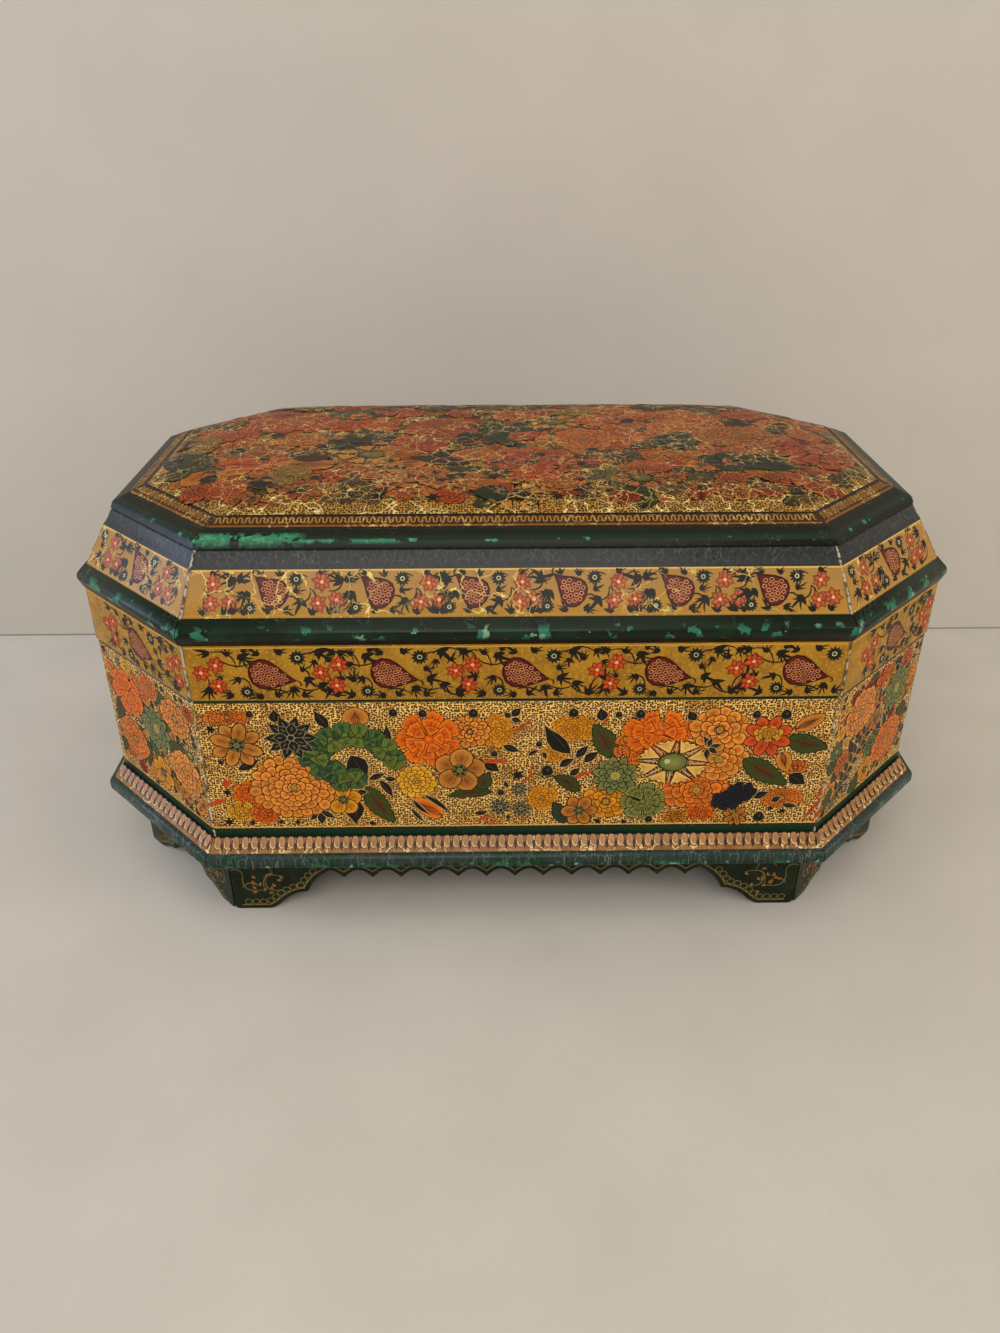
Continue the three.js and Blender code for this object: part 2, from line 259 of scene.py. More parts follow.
# %% Crown
CELL = 1.6
bpy.ops.object.select_all(action="DESELECT")
across, deep = 2 * (HALF_LENGTH + EDGE_FACE), 2 * (HALF_DEPTH + EDGE_FACE)
bpy.ops.mesh.primitive_grid_add(
    x_subdivisions=round(across / CELL), y_subdivisions=round(deep / CELL), size=1, location=(0, 0, 0))
crown = bpy.context.object
crown.name = "painted_crown"
crown.scale = (across * MM, deep * MM, 1)
apply_place(crown)
bpy.ops.object.mode_set(mode="EDIT")
for face in FACES.values():
    start = face["place"].translation
    cut_off(start + face["outward"] * EDGE_FACE * MM, face["outward"], close=False)
    for line, _ in RIM_LINES[1:]:
        bpy.ops.mesh.select_all(action="SELECT")
        bpy.ops.mesh.bisect(plane_co=start - face["outward"] * line * MM, plane_no=face["outward"])
bpy.ops.mesh.select_all(action="SELECT")
bpy.ops.mesh.remove_doubles(threshold=0.02 * MM)
bpy.ops.object.mode_set(mode="OBJECT")
for vertex in crown.data.vertices:
    vertex.co.z = float(crown_height(vertex.co.x / MM, vertex.co.y / MM)) * MM
print("crown sheet:", len(crown.data.vertices), "points")

# %% [markdown]
# The sheet's open rim is drawn down to make the nose, a little outward at its foot, then in under the rim
# and up again, so that the crown is hollow below as a thin plate is.

# %% Nose and underside of the crown
def draw_rim(spread, rise):
    """In edit mode, extrudes the open rim, spreads it by a share of its size and raises it, in mm."""
    bpy.ops.mesh.extrude_edges_move(TRANSFORM_OT_translate={"value": (0, 0, rise * MM)})
    bpy.ops.transform.resize(value=(1 + spread / HALF_LENGTH, 1 + spread / HALF_DEPTH, 1),
                             center_override=(0, 0, 0))


bpy.ops.object.mode_set(mode="EDIT")
select(crown, "EDGE", lambda edge: edge.is_boundary)
NOSE_SPREAD, UNDER_RIM, HOLLOW = 0.8, -5.3, -6
draw_rim(NOSE_SPREAD, CROWN_Z - RIM_LINES[0][1])
draw_rim(UNDER_RIM, 0)
draw_rim(HOLLOW, CROWN_THICKNESS)
bpy.ops.mesh.edge_face_add()
bpy.ops.mesh.select_all(action="SELECT")
bpy.ops.mesh.normals_make_consistent(inside=False)
bpy.ops.object.mode_set(mode="OBJECT")
bpy.ops.object.shade_smooth_by_angle(angle=math.radians(30))
made["painted_crown"] = crown
print("crown:", len(crown.data.polygons), "faces")

# %% [markdown]
# ## Plinth moulding
# Eight mitred lengths of moulding hide the joint of floor and wall: a rounded nose below a band that slopes
# up to the wall. It is shaped from a block, as a joiner's plane would: round the nose, raise the band
# behind it, lean it back, then saw both ends to the mitre. Three lengths differ, and the rest are copies.

# %% Helpers for mouldings
SAWN_OFF = 12  # spare length at each end, lost when the mitre is sawn
ALIKE = {"front": ("back",), "right": ("left",), "front_right": ("back_right", "back_left", "front_left")}


def block(name, half, outward, heights):
    """A block along a face, from its lowest to its highest distance outward and height, in mm."""
    bpy.ops.object.select_all(action="DESELECT")
    near, far = outward
    low, high = heights
    bpy.ops.mesh.primitive_cube_add(
        size=1, location=(0, -(near + far) / 2 * MM, (low + high) / 2 * MM),
        scale=(2 * half * MM, (far - near) * MM, (high - low) * MM))
    piece = bpy.context.object
    piece.name = name
    apply_place(piece)
    return piece


def saw_mitres(half):
    """In edit mode, cuts both ends where two faces meet, less half of the gap."""
    end = (half - GLUE_GAP / 2) * MM
    for side in (1, -1):
        cut_off((side * end, 0, 0), Vector((side, MITRE, 0)).normalized())


def set_round(kind, shape_length, body):
    """Makes the three lengths that differ, copies the others and puts each on its face."""
    for first, others in ALIKE.items():
        piece = shape_length(f"moulded_{kind}_{first}", FACES[first]["half"])
        for name in (*others, first):
            target = piece if name == first else new_object(f"moulded_{kind}_{name}", piece.data.copy())
            target.data.transform(FACES[name]["place"])
            made[target.name] = target
            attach(target, body)
            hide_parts(f"{kind}_{name}")
    print(kind, "set round:", len(piece.data.polygons), "faces in the last length")


# %% Plinth
NOSE_ROUND, NOSE_FOOT_ROUND, BAND_LEAN = 2.3, 1.1, 3.9


def plinth_length(name, half):
    piece = block(name, half + SAWN_OFF, (GLUE_GAP, PLINTH_REACH), (FLOOR_Z, PLINTH_STEP_Z))
    bpy.ops.object.mode_set(mode="EDIT")
    front = -PLINTH_REACH * MM
    select(piece, "EDGE", lambda e: all(v.co.y < front + 1e-6 and v.co.z > 0.035 for v in e.verts))
    bpy.ops.mesh.bevel(offset=NOSE_ROUND * MM, segments=6)
    select(piece, "EDGE", lambda e: all(v.co.y < front + 1e-6 and v.co.z < 0.0305 for v in e.verts))
    bpy.ops.mesh.bevel(offset=NOSE_FOOT_ROUND * MM, segments=4)
    select(piece, "FACE", lambda f: f.normal.z > 0.999)
    band_high = (PLINTH_TOP - PLINTH_STEP_Z) * MM
    bpy.ops.mesh.extrude_region_move(TRANSFORM_OT_translate={"value": (0, 0, band_high)})
    select(piece, "EDGE", lambda e: all(v.co.y < -4 * MM and v.co.z > 0.0403 for v in e.verts))
    bpy.ops.transform.translate(value=(0, BAND_LEAN * MM, 0))
    saw_mitres(half)
    bpy.ops.object.mode_set(mode="OBJECT")
    soften(piece, 0.25, 2)
    return piece


set_round("plinth", plinth_length, "casket")

# %% [markdown]
# ## Bead
# The green bead is a low roof with a rounded ridge: a block's outer face is squeezed to a line, the ridge
# that this leaves is rounded with a wide bevel, and the upper edge is leaned back against the lid's sloping
# wall.

# %% Bead
BEAD_REACH = (0.75, 4.1)
RIDGE_LIFT, RIDGE_BACK, RIDGE_ROUND, TOP_LEAN = 0.3, 1.1, 1.9, 2.2


def bead_length(name, half):
    piece = block(name, half + SAWN_OFF, BEAD_REACH, (BEAD_Z, FRIEZE_Z))
    bpy.ops.object.mode_set(mode="EDIT")
    select(piece, "FACE", lambda f: f.normal.y < -0.9)
    bpy.ops.transform.resize(value=(1, 1, 0))
    bpy.ops.mesh.select_all(action="SELECT")
    bpy.ops.mesh.remove_doubles(threshold=0.01 * MM)
    select(piece, "EDGE", lambda e: all(v.co.y > -2 * MM and v.co.z > 0.133 for v in e.verts))
    bpy.ops.transform.translate(value=(0, TOP_LEAN * MM, 0))
    select(piece, "EDGE", lambda e: all(v.co.y < -4 * MM for v in e.verts))
    bpy.ops.transform.translate(value=(0, RIDGE_BACK * MM, RIDGE_LIFT * MM))
    bpy.ops.mesh.bevel(offset=RIDGE_ROUND * MM, segments=7)
    saw_mitres(half)
    bpy.ops.object.mode_set(mode="OBJECT")
    soften(piece, 0.2, 2)
    return piece


set_round("bead", bead_length, "lid")

# %% [markdown]
# ## Bracket base
# The eight boards are sawn with lobed feet and, front and back, an apron of hanging points. The CAD has
# that outline, so each board is a copy of its node, with the corners that it stands on rounded and the
# saw's edge rubbed down.

# %% Bracket boards
BOARD_FACE = -4.5
MITRE_ROUND, TOE_ROUND, TOE_SHIFT = 1.8, 1.2, 1.5
board_outlines = {}


def round_feet(board, place):
    """Rounds off both ends of each flat toe: at the mitre, and where the lobe starts to rise."""
    back = place.inverted()

    def through(edge, slant, side=0):
        a, b = (back @ v.co / MM for v in edge.verts)
        on_ground = max(a.z, b.z) < 0.5 and abs(a.y - b.y) > 2 and side * a.x >= 0
        return on_ground and (abs(a.x - b.x) > 1) == slant

    pick(board)
    bpy.ops.object.mode_set(mode="EDIT")
    select(board, "EDGE", lambda edge: through(edge, True))
    bpy.ops.mesh.bevel(offset=MITRE_ROUND * MM, segments=4)
    for side in (1, -1):
        select(board, "EDGE", lambda edge: through(edge, False, side))
        bpy.ops.transform.translate(value=place.to_3x3() @ Vector((side * TOE_SHIFT * MM, 0, 0)))
        bpy.ops.mesh.bevel(offset=TOE_ROUND * MM, segments=3)
    bpy.ops.object.mode_set(mode="OBJECT")


for face, spec in FACES.items():
    board = merged_copy(f"bracket_{face}", f"sawn_bracket_{face}")
    round_feet(board, spec["place"])
    outer = max(board.data.polygons, key=lambda polygon: polygon.normal.dot(spec["outward"]) * polygon.area)
    back = spec["place"].inverted()
    corners = [back @ board.data.vertices[index].co / MM for index in outer.vertices]
    board_outlines[face] = [(corner.x, corner.z) for corner in corners]
    soften(board, 0.5, 2, 40)
    made[board.name] = board
print("brackets:", len(board_outlines["front"]), "points round the front board")

# %% [markdown]
# ## What stands for what
# Each piece rides on its body and stands for its CAD node. The floor board and the collar strips are seen
# only when the lid is off. Their plain shapes are right, so they stay and get a finish below.

# %% Riding
STANDS_FOR = {"painted_wall": "body_wall", "painted_lid_shell": "lid_shell", "painted_crown": "lid_crown"}
for name, node in STANDS_FOR.items():
    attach(made[name], "casket" if node == "body_wall" else "lid")
    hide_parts(node)
for face in FACES:
    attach(made[f"sawn_bracket_{face}"], "casket")
    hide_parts(f"bracket_{face}")
print("pieces so far:", len(made))

# %% [markdown]
# ## Helpers for finishes
# Every finish is drawn by shader nodes, with no pictures. Colours are written as they look on a screen and
# turned to linear light by one function. One more function adds a node. The masks below are painter's
# words: patches of wear, crackle, a band between two heights.

# %% Colour and nodes
def tone(code):
    """An sRGB hex colour as linear red, green, blue and alpha."""
    parts = [int(code[at:at + 2], 16) / 255 for at in (1, 3, 5)]
    return (*(c / 12.92 if c <= 0.04045 else ((c + 0.055) / 1.055) ** 2.4 for c in parts), 1.0)


def add(tree, kind, inputs=None, **settings):
    """Adds a node, with its settings, and its inputs as values or as sockets to link."""
    node = tree.nodes.new(kind)
    for key, value in settings.items():
        setattr(node, key, value)
    for socket, value in (inputs or {}).items():
        if isinstance(value, bpy.types.NodeSocket):
            tree.links.new(value, node.inputs[socket])
        else:
            node.inputs[socket].default_value = value
    return node


def new_finish(name, roughness, coat=0.0, coat_roughness=0.1):
    material = bpy.data.materials.new(name)
    material.use_nodes = True
    shader = material.node_tree.nodes["Principled BSDF"]
    shader.inputs["Roughness"].default_value = roughness
    shader.inputs["IOR"].default_value = 1.5
    shader.inputs["Specular IOR Level"].default_value = 0.12
    shader.inputs["Coat Weight"].default_value = coat
    shader.inputs["Coat Roughness"].default_value = coat_roughness
    where = add(material.node_tree, "ShaderNodeTexCoord").outputs["Object"]
    return material, material.node_tree, shader, where


print("mustard gold in linear light:", [round(c, 3) for c in tone("#c9972f")])

# %% Masks
def patches(tree, where, size, start, end, detail=4.0):
    """Cloudy patches of about this size in mm: 0 below start, 1 above end."""
    noise = add(tree, "ShaderNodeTexNoise", {"Vector": where, "Scale": 1 / (size * MM), "Detail": detail})
    return add(tree, "ShaderNodeMapRange", {
        "Value": noise.outputs["Fac"], "From Min": start, "From Max": end}).outputs["Result"]


def both(tree, first, second):
    """Where both masks are set, or one mask at a strength."""
    return add(tree, "ShaderNodeMath", {0: first, 1: second}, operation="MULTIPLY").outputs[0]


def wavering(tree, where, size, detail, reach):
    """Places pushed about by a reach in mm, so that lines and dots look drawn by hand."""
    noise = add(tree, "ShaderNodeTexNoise", {"Vector": where, "Scale": 1 / (size * MM), "Detail": detail})
    pushed = add(tree, "ShaderNodeVectorMath", {
        0: noise.outputs["Color"], 1: (reach * MM,) * 3, 2: where}, operation="MULTIPLY_ADD")
    return pushed.outputs["Vector"]


def crackle(tree, where, cell, width, start=0.42, end=0.56):
    """Lines where old varnish has split, in mm. They come and go over patches three cells wide."""
    cells = add(tree, "ShaderNodeTexVoronoi", {
        "Vector": wavering(tree, where, 0.5 * cell, 3.0, 0.8 * cell), "Scale": 1 / (cell * MM)},
        feature="DISTANCE_TO_EDGE")
    line = add(tree, "ShaderNodeMapRange", {
        "Value": cells.outputs["Distance"], "From Min": 0.3 * width / cell, "From Max": width / cell,
        "To Min": 1.0, "To Max": 0.0}).outputs["Result"]
    return both(tree, line, patches(tree, where, 3 * cell, start, end, 2.0))


def band(tree, value, low, high, soft=0.06):
    """1 between two distances in mm, 0 outside, with a soft edge."""
    edges = [add(tree, "ShaderNodeMapRange", {
        "Value": value, "From Min": (edge - soft) * MM, "From Max": (edge + soft) * MM,
        "To Min": start, "To Max": 1 - start}).outputs["Result"] for edge, start in ((low, 0.0), (high, 1.0))]
    return both(tree, *edges)


def paint_over(tree, under, layers):
    """Lays colours over each other. Each layer is a mask and a colour, or a mask, a colour and a strength."""
    for mask, colour, *strength in layers:
        share = both(tree, mask, strength[0]) if strength else mask
        colour = tone(colour) if isinstance(colour, str) else colour
        mix = add(tree, "ShaderNodeMix", {0: share, 6: under, 7: colour}, data_type="RGBA")
        under = mix.outputs[2]
    return under


def stipple(tree, flat, spacing):
    """How far each place of a flat map lies from the nearest of many hand-set dots."""
    cells = add(tree, "ShaderNodeTexVoronoi", {
        "Vector": wavering(tree, flat, 0.9, 1.0, 0.25), "Scale": 1 / (spacing * MM), "Randomness": 0.7},
        voronoi_dimensions="2D", feature="F1")
    return both(tree, cells.outputs["Distance"], spacing * MM)


def from_corner(tree):
    """How far each place lies from the nearer end of its face."""
    corner = add(tree, "ShaderNodeUVMap", uv_map="corner").outputs["UV"]
    ends = add(tree, "ShaderNodeSeparateXYZ", {0: corner}).outputs
    return add(tree, "ShaderNodeMath", {0: ends["X"], 1: ends["Y"]}, operation="MINIMUM").outputs[0]


def relief(tree, shader, height, depth):
    """Lets a mask or a pattern stand out by a depth in mm."""
    bump = add(tree, "ShaderNodeBump", {"Height": height, "Distance": depth * MM, "Strength": 1.0})
    tree.links.new(bump.outputs["Normal"], shader.inputs["Normal"])


def colour_with(tree, shader, colour):
    tree.links.new(colour, shader.inputs["Base Color"])


def put_on(material, *names):
    """Gives pieces their finish."""
    for name in names:
        made[name].data.materials.append(material)
    print(material.name, len(material.node_tree.nodes), "nodes")


print("masks ready")

# %% [markdown]
# ## Dotted gold ground
# The wall's flowers stand on a ground of gold paint, stippled all over with dark dots a little under a
# millimetre apart. A green band runs above the plinth, with a dark and a gold line over it, and a narrower
# green one under the lid, all set by height. Paint has rubbed off the upright corners down to the pale
# gesso and brown paper below.

# %% Dotted gold ground of the wall
material, tree, shader, where = new_finish("dotted gold gouache under varnish", 0.5, 0.2, 0.2)
facet = add(tree, "ShaderNodeUVMap", uv_map="facet").outputs["UV"]
near_end = from_corner(tree)
height = add(tree, "ShaderNodeSeparateXYZ", {0: where}).outputs["Z"]
away = stipple(tree, facet, 0.9)
dots = band(tree, away, -1, 0.28, 0.07)
rubbed = both(tree, band(tree, near_end, -3, 0.5, 0.3), patches(tree, where, 1.6, 0.5, 0.56))
scuffed = both(tree, band(tree, near_end, -3, 1.0, 0.6), patches(tree, where, 5, 0.45, 0.55))
colour_with(tree, shader, paint_over(tree, tone("#a0661c"), [
    (patches(tree, where, 9, 0.4, 0.62), "#804c10"),
    (both(tree, band(tree, away, 0.4, 9, 0.08), patches(tree, where, 7, 0.2, 0.55)), "#f0c46c"),
    (dots, "#190d04"),
    (band(tree, height, 30, 44.3), "#13301c"),
    (band(tree, height, 44.3, 44.9), "#120f0a"),
    (band(tree, height, 45.0, 45.5), "#d9a95a"),
    (band(tree, height, 100.7, 102), "#1d3216"),
    (scuffed, "#3d2c1c", 0.8),
    (rubbed, "#d5cab2", 0.85),
]))
relief(tree, shader, add(tree, "ShaderNodeMath", {0: dots, 1: rubbed}, operation="ADD").outputs[0], 0.02)
put_on(material, "painted_wall")

# %% [markdown]
# ## Mustard gold of the lid
# The skirt and the frieze carry botehs on plain mustard gold. The frieze's varnish has crackled, and gold
# shows bright in the cracks. The cove above is a black band with pale cracks. All three are told apart by
# height.

# %% Lid shell
material, tree, shader, where = new_finish("mustard gold gouache under varnish", 0.5, 0.22, 0.18)
near_end = from_corner(tree)
height = add(tree, "ShaderNodeSeparateXYZ", {0: where}).outputs["Z"]
rounded = band(tree, near_end, 2.0, 900, 2.6)
# A pale streak by the mitre at the right front corner is a painted highlight: the gleam of light on the
# rounded corner, laid in as colour.
to_front_right = add(tree, "ShaderNodeVectorMath", {0: where, 1: (0.71, -0.71, 0)}, operation="DOT_PRODUCT")
painted_corner_highlight = both(tree, both(
    tree, band(tree, near_end, -3, 1.6, 1.8), band(tree, to_front_right.outputs["Value"], 155, 300, 3)),
    patches(tree, where, 2.5, 0.25, 0.5))
on_frieze = band(tree, height, 130, 148.5)
splits = crackle(tree, where, 8, 0.24, 0.46, 0.58)
upward = add(tree, "ShaderNodeVectorMath", {0: where, 1: (1.0, 1.0, 0.3)}, operation="MULTIPLY").outputs[0]
rubbed = both(tree, band(tree, near_end, -3, 0.5, 0.3), patches(tree, where, 1.8, 0.44, 0.52))
colour_with(tree, shader, paint_over(tree, tone("#ae7d1a"), [
    (patches(tree, where, 7, 0.38, 0.62), "#946816"),
    (patches(tree, where, 1.2, 0.5, 0.7), "#c39036"),
    (on_frieze, "#ae8038", 0.75),
    (band(tree, height, 143, 149, 5), "#8e6c46", 0.5),
    (both(tree, splits, on_frieze), "#f4d97c"),
    (band(tree, height, 101, 102.2), "#0e0c08"),
    (band(tree, height, 123.2, 123.6), "#c79d45"),
    (band(tree, height, 134.3, 134.7), "#b48a3e"),
    (band(tree, height, 147.8, 148.3), "#d4ae56"),
    # The cove's black paint is laid on slate grey: painted sheen of the room's light on it.
    (band(tree, height, 148.3, 160), "#2b2d2d"),
    # Darker at the top of the cove: painted shade under the crown's nose.
    (band(tree, height, 154.5, 160, 1.5), "#15160f"),
    (both(tree, crackle(tree, upward, 5, 0.12, 0.3, 0.5), band(tree, height, 148.5, 160)), "#161714", 0.8),
    (both(tree, crackle(tree, upward, 2.4, 0.06, 0.2, 0.45), band(tree, height, 149.5, 158, 1)),
     "#8f8d82", 0.3),
    (both(tree, band(tree, near_end, -3, 0.9, 0.4), patches(tree, where, 5, 0.35, 0.45)), "#33261a", 0.8),
    (rubbed, "#c9c0ac", 0.8),
    # painted highlight at the right front corner
    (painted_corner_highlight, "#e9e3d2", 0.75),
]))
raised = add(tree, "ShaderNodeMath", {0: rounded, 1: both(tree, splits, 0.1)}, operation="ADD")
relief(tree, shader, raised.outputs[0], 0.3)
put_on(material, "painted_lid_shell")

# %% [markdown]
# ## Crown
# The crown changes finish by how far in from its rim a point lies, so that distance is stored on its
# points. The plain edge is deep green, the border dark brown under a gold wave, and the field dotted gold
# again, crackled all over. Along the left half of the edge the green is worn to an older, lighter one.

# %% Crown
lay_maps(crown)
inside = crown.data.attributes.new("inside", "FLOAT", "POINT")
inside.data.foreach_set("value", [
    float(inside_by(v.co.x / MM, v.co.y / MM).min()) * MM for v in crown.data.vertices])
material, tree, shader, where = new_finish("crackled gold and green gouache under varnish", 0.48, 0.2, 0.2)
inward = add(tree, "ShaderNodeAttribute", attribute_name="inside").outputs["Fac"]
away = stipple(tree, where, 0.95)
splits = crackle(tree, where, 6, 0.2, 0.38, 0.5)
along = add(tree, "ShaderNodeSeparateXYZ", {0: where}).outputs["X"]
rough = patches(tree, where, 6, 0.43, 0.45)
worn_end = both(tree, band(tree, along, -112, -74, 2), band(tree, inward, 14.1, 17.4, 0.8))
worn_line = both(tree, band(tree, along, -76, -40, 2), band(tree, inward, 14.1, 14.9, 0.3))
worn = add(tree, "ShaderNodeMath", {0: worn_end, 1: worn_line}, operation="MAXIMUM").outputs[0]
spots = both(tree, patches(tree, where, 5, 0.63, 0.65), band(tree, inward, 14.1, 15.2, 0.2))
chipped = add(tree, "ShaderNodeMath", {0: both(tree, worn, rough), 1: spots}, operation="MAXIMUM").outputs[0]
colour_with(tree, shader, paint_over(tree, tone("#7a4c12"), [
    (patches(tree, where, 9, 0.4, 0.62), "#5c390b"),
    (band(tree, away, 0.4, 9, 0.1), "#a87c30"),
    (band(tree, away, -1, 0.3, 0.08), "#150b03"),
    (splits, "#efd48a"),
    (band(tree, inward, 20.0, 26.4), "#38200c"),
    (both(tree, splits, band(tree, inward, 20, 26)), "#b8925c", 0.5),
    (band(tree, inward, 19.6, 20.3), "#0a0905"),
    (band(tree, inward, 25.8, 26.7), "#0a0905"),
    (band(tree, inward, 0, 19.6), "#0a1405"),
    # A lighter green band along the edge's lower rounding is a painted sheen.
    (band(tree, inward, 14.3, 16.4, 0.8), "#10261a"),
    # The nose below the edge is near-black: its deep green darkened as painted shade.
    (band(tree, inward, -1, 14.15, 0.1), "#040a03"),
    (both(tree, crackle(tree, where, 5, 0.1, 0.56, 0.66), band(tree, inward, 0, 19.6)), "#5f6f5a", 0.3),
    (chipped, "#2f7a55"),
    (both(tree, chipped, patches(tree, where, 2, 0.55, 0.6)), "#4f9a74", 0.7),
]))
relief(tree, shader, splits, 0.03)
put_on(material, "painted_crown")

# %% [markdown]
# ## Green bead, plinth and feet
# Bead and nose are deep green under thick varnish, chipped along the ridge where hands and shelves have
# touched them: the chips show an older, lighter green. The band above the nose is copper-coloured. The feet
# are almost black, a green darkened by handling.

# %% Bead
material, tree, shader, where = new_finish("deep green gouache under thick varnish", 0.4, 0.2, 0.2)
height = add(tree, "ShaderNodeSeparateXYZ", {0: where}).outputs["Z"]
ridge = band(tree, height, 127.4, 131.2, 1.0)
chips = both(tree, ridge, patches(tree, where, 6, 0.56, 0.575))
colour_with(tree, shader, paint_over(tree, tone("#0c1d0a"), [
    (patches(tree, where, 12, 0.4, 0.65), "#081406"),
    (both(tree, crackle(tree, where, 4, 0.1, 0.52, 0.64), band(tree, height, 129.5, 135)), "#6f7a68", 0.4),
    # The bead's lower, downward-facing side is near-black: painted shade.
    (band(tree, height, 120, 127, 1.2), "#030802"),
    (both(tree, ridge, patches(tree, where, 18, 0.5, 0.62)), "#12381e", 0.5),
    (chips, "#296e54"),
    (both(tree, chips, patches(tree, where, 5, 0.55, 0.6)), "#7da081"),
]))
relief(tree, shader, patches(tree, where, 3, 0.3, 0.7), 0.04)
put_on(material, *(f"moulded_bead_{face}" for face in FACES))

# %% Plinth
material, tree, shader, where = new_finish("copper band and green nose under varnish", 0.42, 0.2, 0.2)
height = add(tree, "ShaderNodeSeparateXYZ", {0: where}).outputs["Z"]
nose = band(tree, height, 20, PLINTH_STEP_Z + 0.1)
splits = crackle(tree, where, 7, 0.24, 0.44, 0.56)
upward = add(tree, "ShaderNodeVectorMath", {0: where, 1: (1.0, 1.0, 0.05)}, operation="MULTIPLY").outputs[0]
low_edge = band(tree, height, 28, 32.4, 0.9)
worn_edge = both(tree, low_edge, patches(tree, where, 4, 0.5, 0.56))
colour_with(tree, shader, paint_over(tree, tone("#9c6c3c"), [
    (patches(tree, where, 5, 0.4, 0.62), "#835530"),
    (splits, "#f0d894"),
    (band(tree, height, 40.8, 42), "#2a170a"),
    # The nose's deep green is laid on slate grey: painted sheen. Its own green shows in patches and at the
    # low edge.
    (nose, "#2a3632"),
    (both(tree, nose, patches(tree, where, 9, 0.5, 0.64)), "#153523"),
    (low_edge, "#0c2416"),
    (both(tree, crackle(tree, upward, 2.6, 0.07, 0.36, 0.56), nose), "#a4aca2", 0.36),
    (worn_edge, "#1d5c42"),
    (both(tree, worn_edge, patches(tree, where, 2.5, 0.56, 0.6)), "#7ba88c"),
]))
relief(tree, shader, splits, 0.03)
put_on(material, *(f"moulded_plinth_{face}" for face in FACES))

# %% Feet and aprons
material, tree, shader, where = new_finish("blackened green paint on the bracket boards", 0.42, 0.12, 0.2)
colour_with(tree, shader, paint_over(tree, tone("#10180a"), [
    (patches(tree, where, 9, 0.4, 0.62), "#18240f"),
    (patches(tree, where, 3, 0.6, 0.64), "#2c3018", 0.6),
]))
relief(tree, shader, patches(tree, where, 2.5, 0.3, 0.7), 0.04)
put_on(material, *(f"sawn_bracket_{face}" for face in FACES))

# %% [markdown]
# ## Inside
# Floor, collar and all the faces that look inwards or down are brushed with a dark brown lacquer. The
# photograph shows no inside, so this is the plain finish that such boxes usually have.

# %% Inside lacquer
material, tree, shader, where = new_finish("dark lacquer brushed inside", 0.45, 0.2, 0.3)
strokes = add(tree, "ShaderNodeVectorMath", {0: where, 1: (0.15, 1.0, 1.0)}, operation="MULTIPLY").outputs[0]
colour_with(tree, shader, paint_over(tree, tone("#2a1a12"), [
    (patches(tree, strokes, 1.5, 0.35, 0.7), "#3a2418"),
    (patches(tree, where, 30, 0.4, 0.6), "#1d120c"),
]))
relief(tree, shader, patches(tree, strokes, 1.5, 0.3, 0.7), 0.03)
for node in ("floor_board", *(f"collar_{face}" for face in FACES)):
    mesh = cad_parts[node].data
    mesh.materials.clear()
    mesh.materials.append(material)
for name in STANDS_FOR:
    mesh = made[name].data
    mesh.materials.append(material)
    for polygon in mesh.polygons:
        inward = polygon.normal.x * polygon.center.x + polygon.normal.y * polygon.center.y < 0
        polygon.material_index = int(inward and abs(polygon.normal.z) < 0.5 or polygon.normal.z < -0.5)
print(material.name, len(tree.nodes), "nodes")

# %% [markdown]
# ## Painting
# The flowers are gouache, laid on in small strokes: each petal has a dark outline, a lighter rim and a
# deeper heart. They are not solids that could be carved from a primitive, so they are painted instead of
# modelled: every stroke becomes a thin closed flake of paint, drawn flat in millimetres as seen from
# outside. A flake is an outline, the same outline drawn in by the width of its dark line, and a middle
# point. The tones sit on the corners of its faces, so that the dark line stays crisp and the fill shades
# softly.
#
# Where strokes overlap, the later one lies a few thousandths of a millimetre higher, as paint does. The
# film remembers how high each small square of it stands.

# %% Flakes of paint
FLAKE = 0.004
SQUARE = 0.8
shades = {}


def shade(code, factor=1.0):
    """A colour a little lighter or darker than the one named."""
    if code not in shades:
        shades[code] = tone(code)[:3]
    return tuple(min(1.0, part * factor) for part in shades[code])


def new_film(ground=0.03, bend=lambda x, y: 0.0, low=-900, high=900):
    """An empty film, masked off below low and above high. Bend says how much more height a stroke needs at a
    place of a bent surface."""
    return {"points": [], "faces": [], "tones": [], "tops": {},
            "ground": ground, "bend": bend, "mask": (low, high)}


def resampled(path, count):
    path = np.asarray(path, float)
    run = np.concatenate(([0], np.cumsum(np.linalg.norm(np.diff(path, axis=0), axis=1))))
    at = np.linspace(0, run[-1], count)
    return np.column_stack([np.interp(at, run, path[:, k]) for k in (0, 1)])


def leftward(ahead):
    """Directions of length one to the left of these."""
    ahead = ahead / (np.linalg.norm(ahead, axis=1, keepdims=True) + 1e-9)
    return np.column_stack((-ahead[:, 1], ahead[:, 0]))


def moved_in(outline, depth):
    """An anticlockwise outline with each point moved inwards."""
    return outline + depth * leftward(np.roll(outline, -1, 0) - np.roll(outline, 1, 0))


def rest_on(film, spots):
    """The height for a stroke that covers these spots: just above what already lies there."""
    spots = np.concatenate([spots + shift for shift in ((-0.2, -0.2), (-0.2, 0.2), (0.2, -0.2), (0.2, 0.2))])
    squares = np.unique(np.round(spots / SQUARE).astype(int) @ (10000, 1)).tolist()
    low = max(film["tops"].get(square, film["ground"]) for square in squares)
    low += FLAKE + film["bend"](*spots[0])
    film["tops"].update(dict.fromkeys(squares, low))
    return low


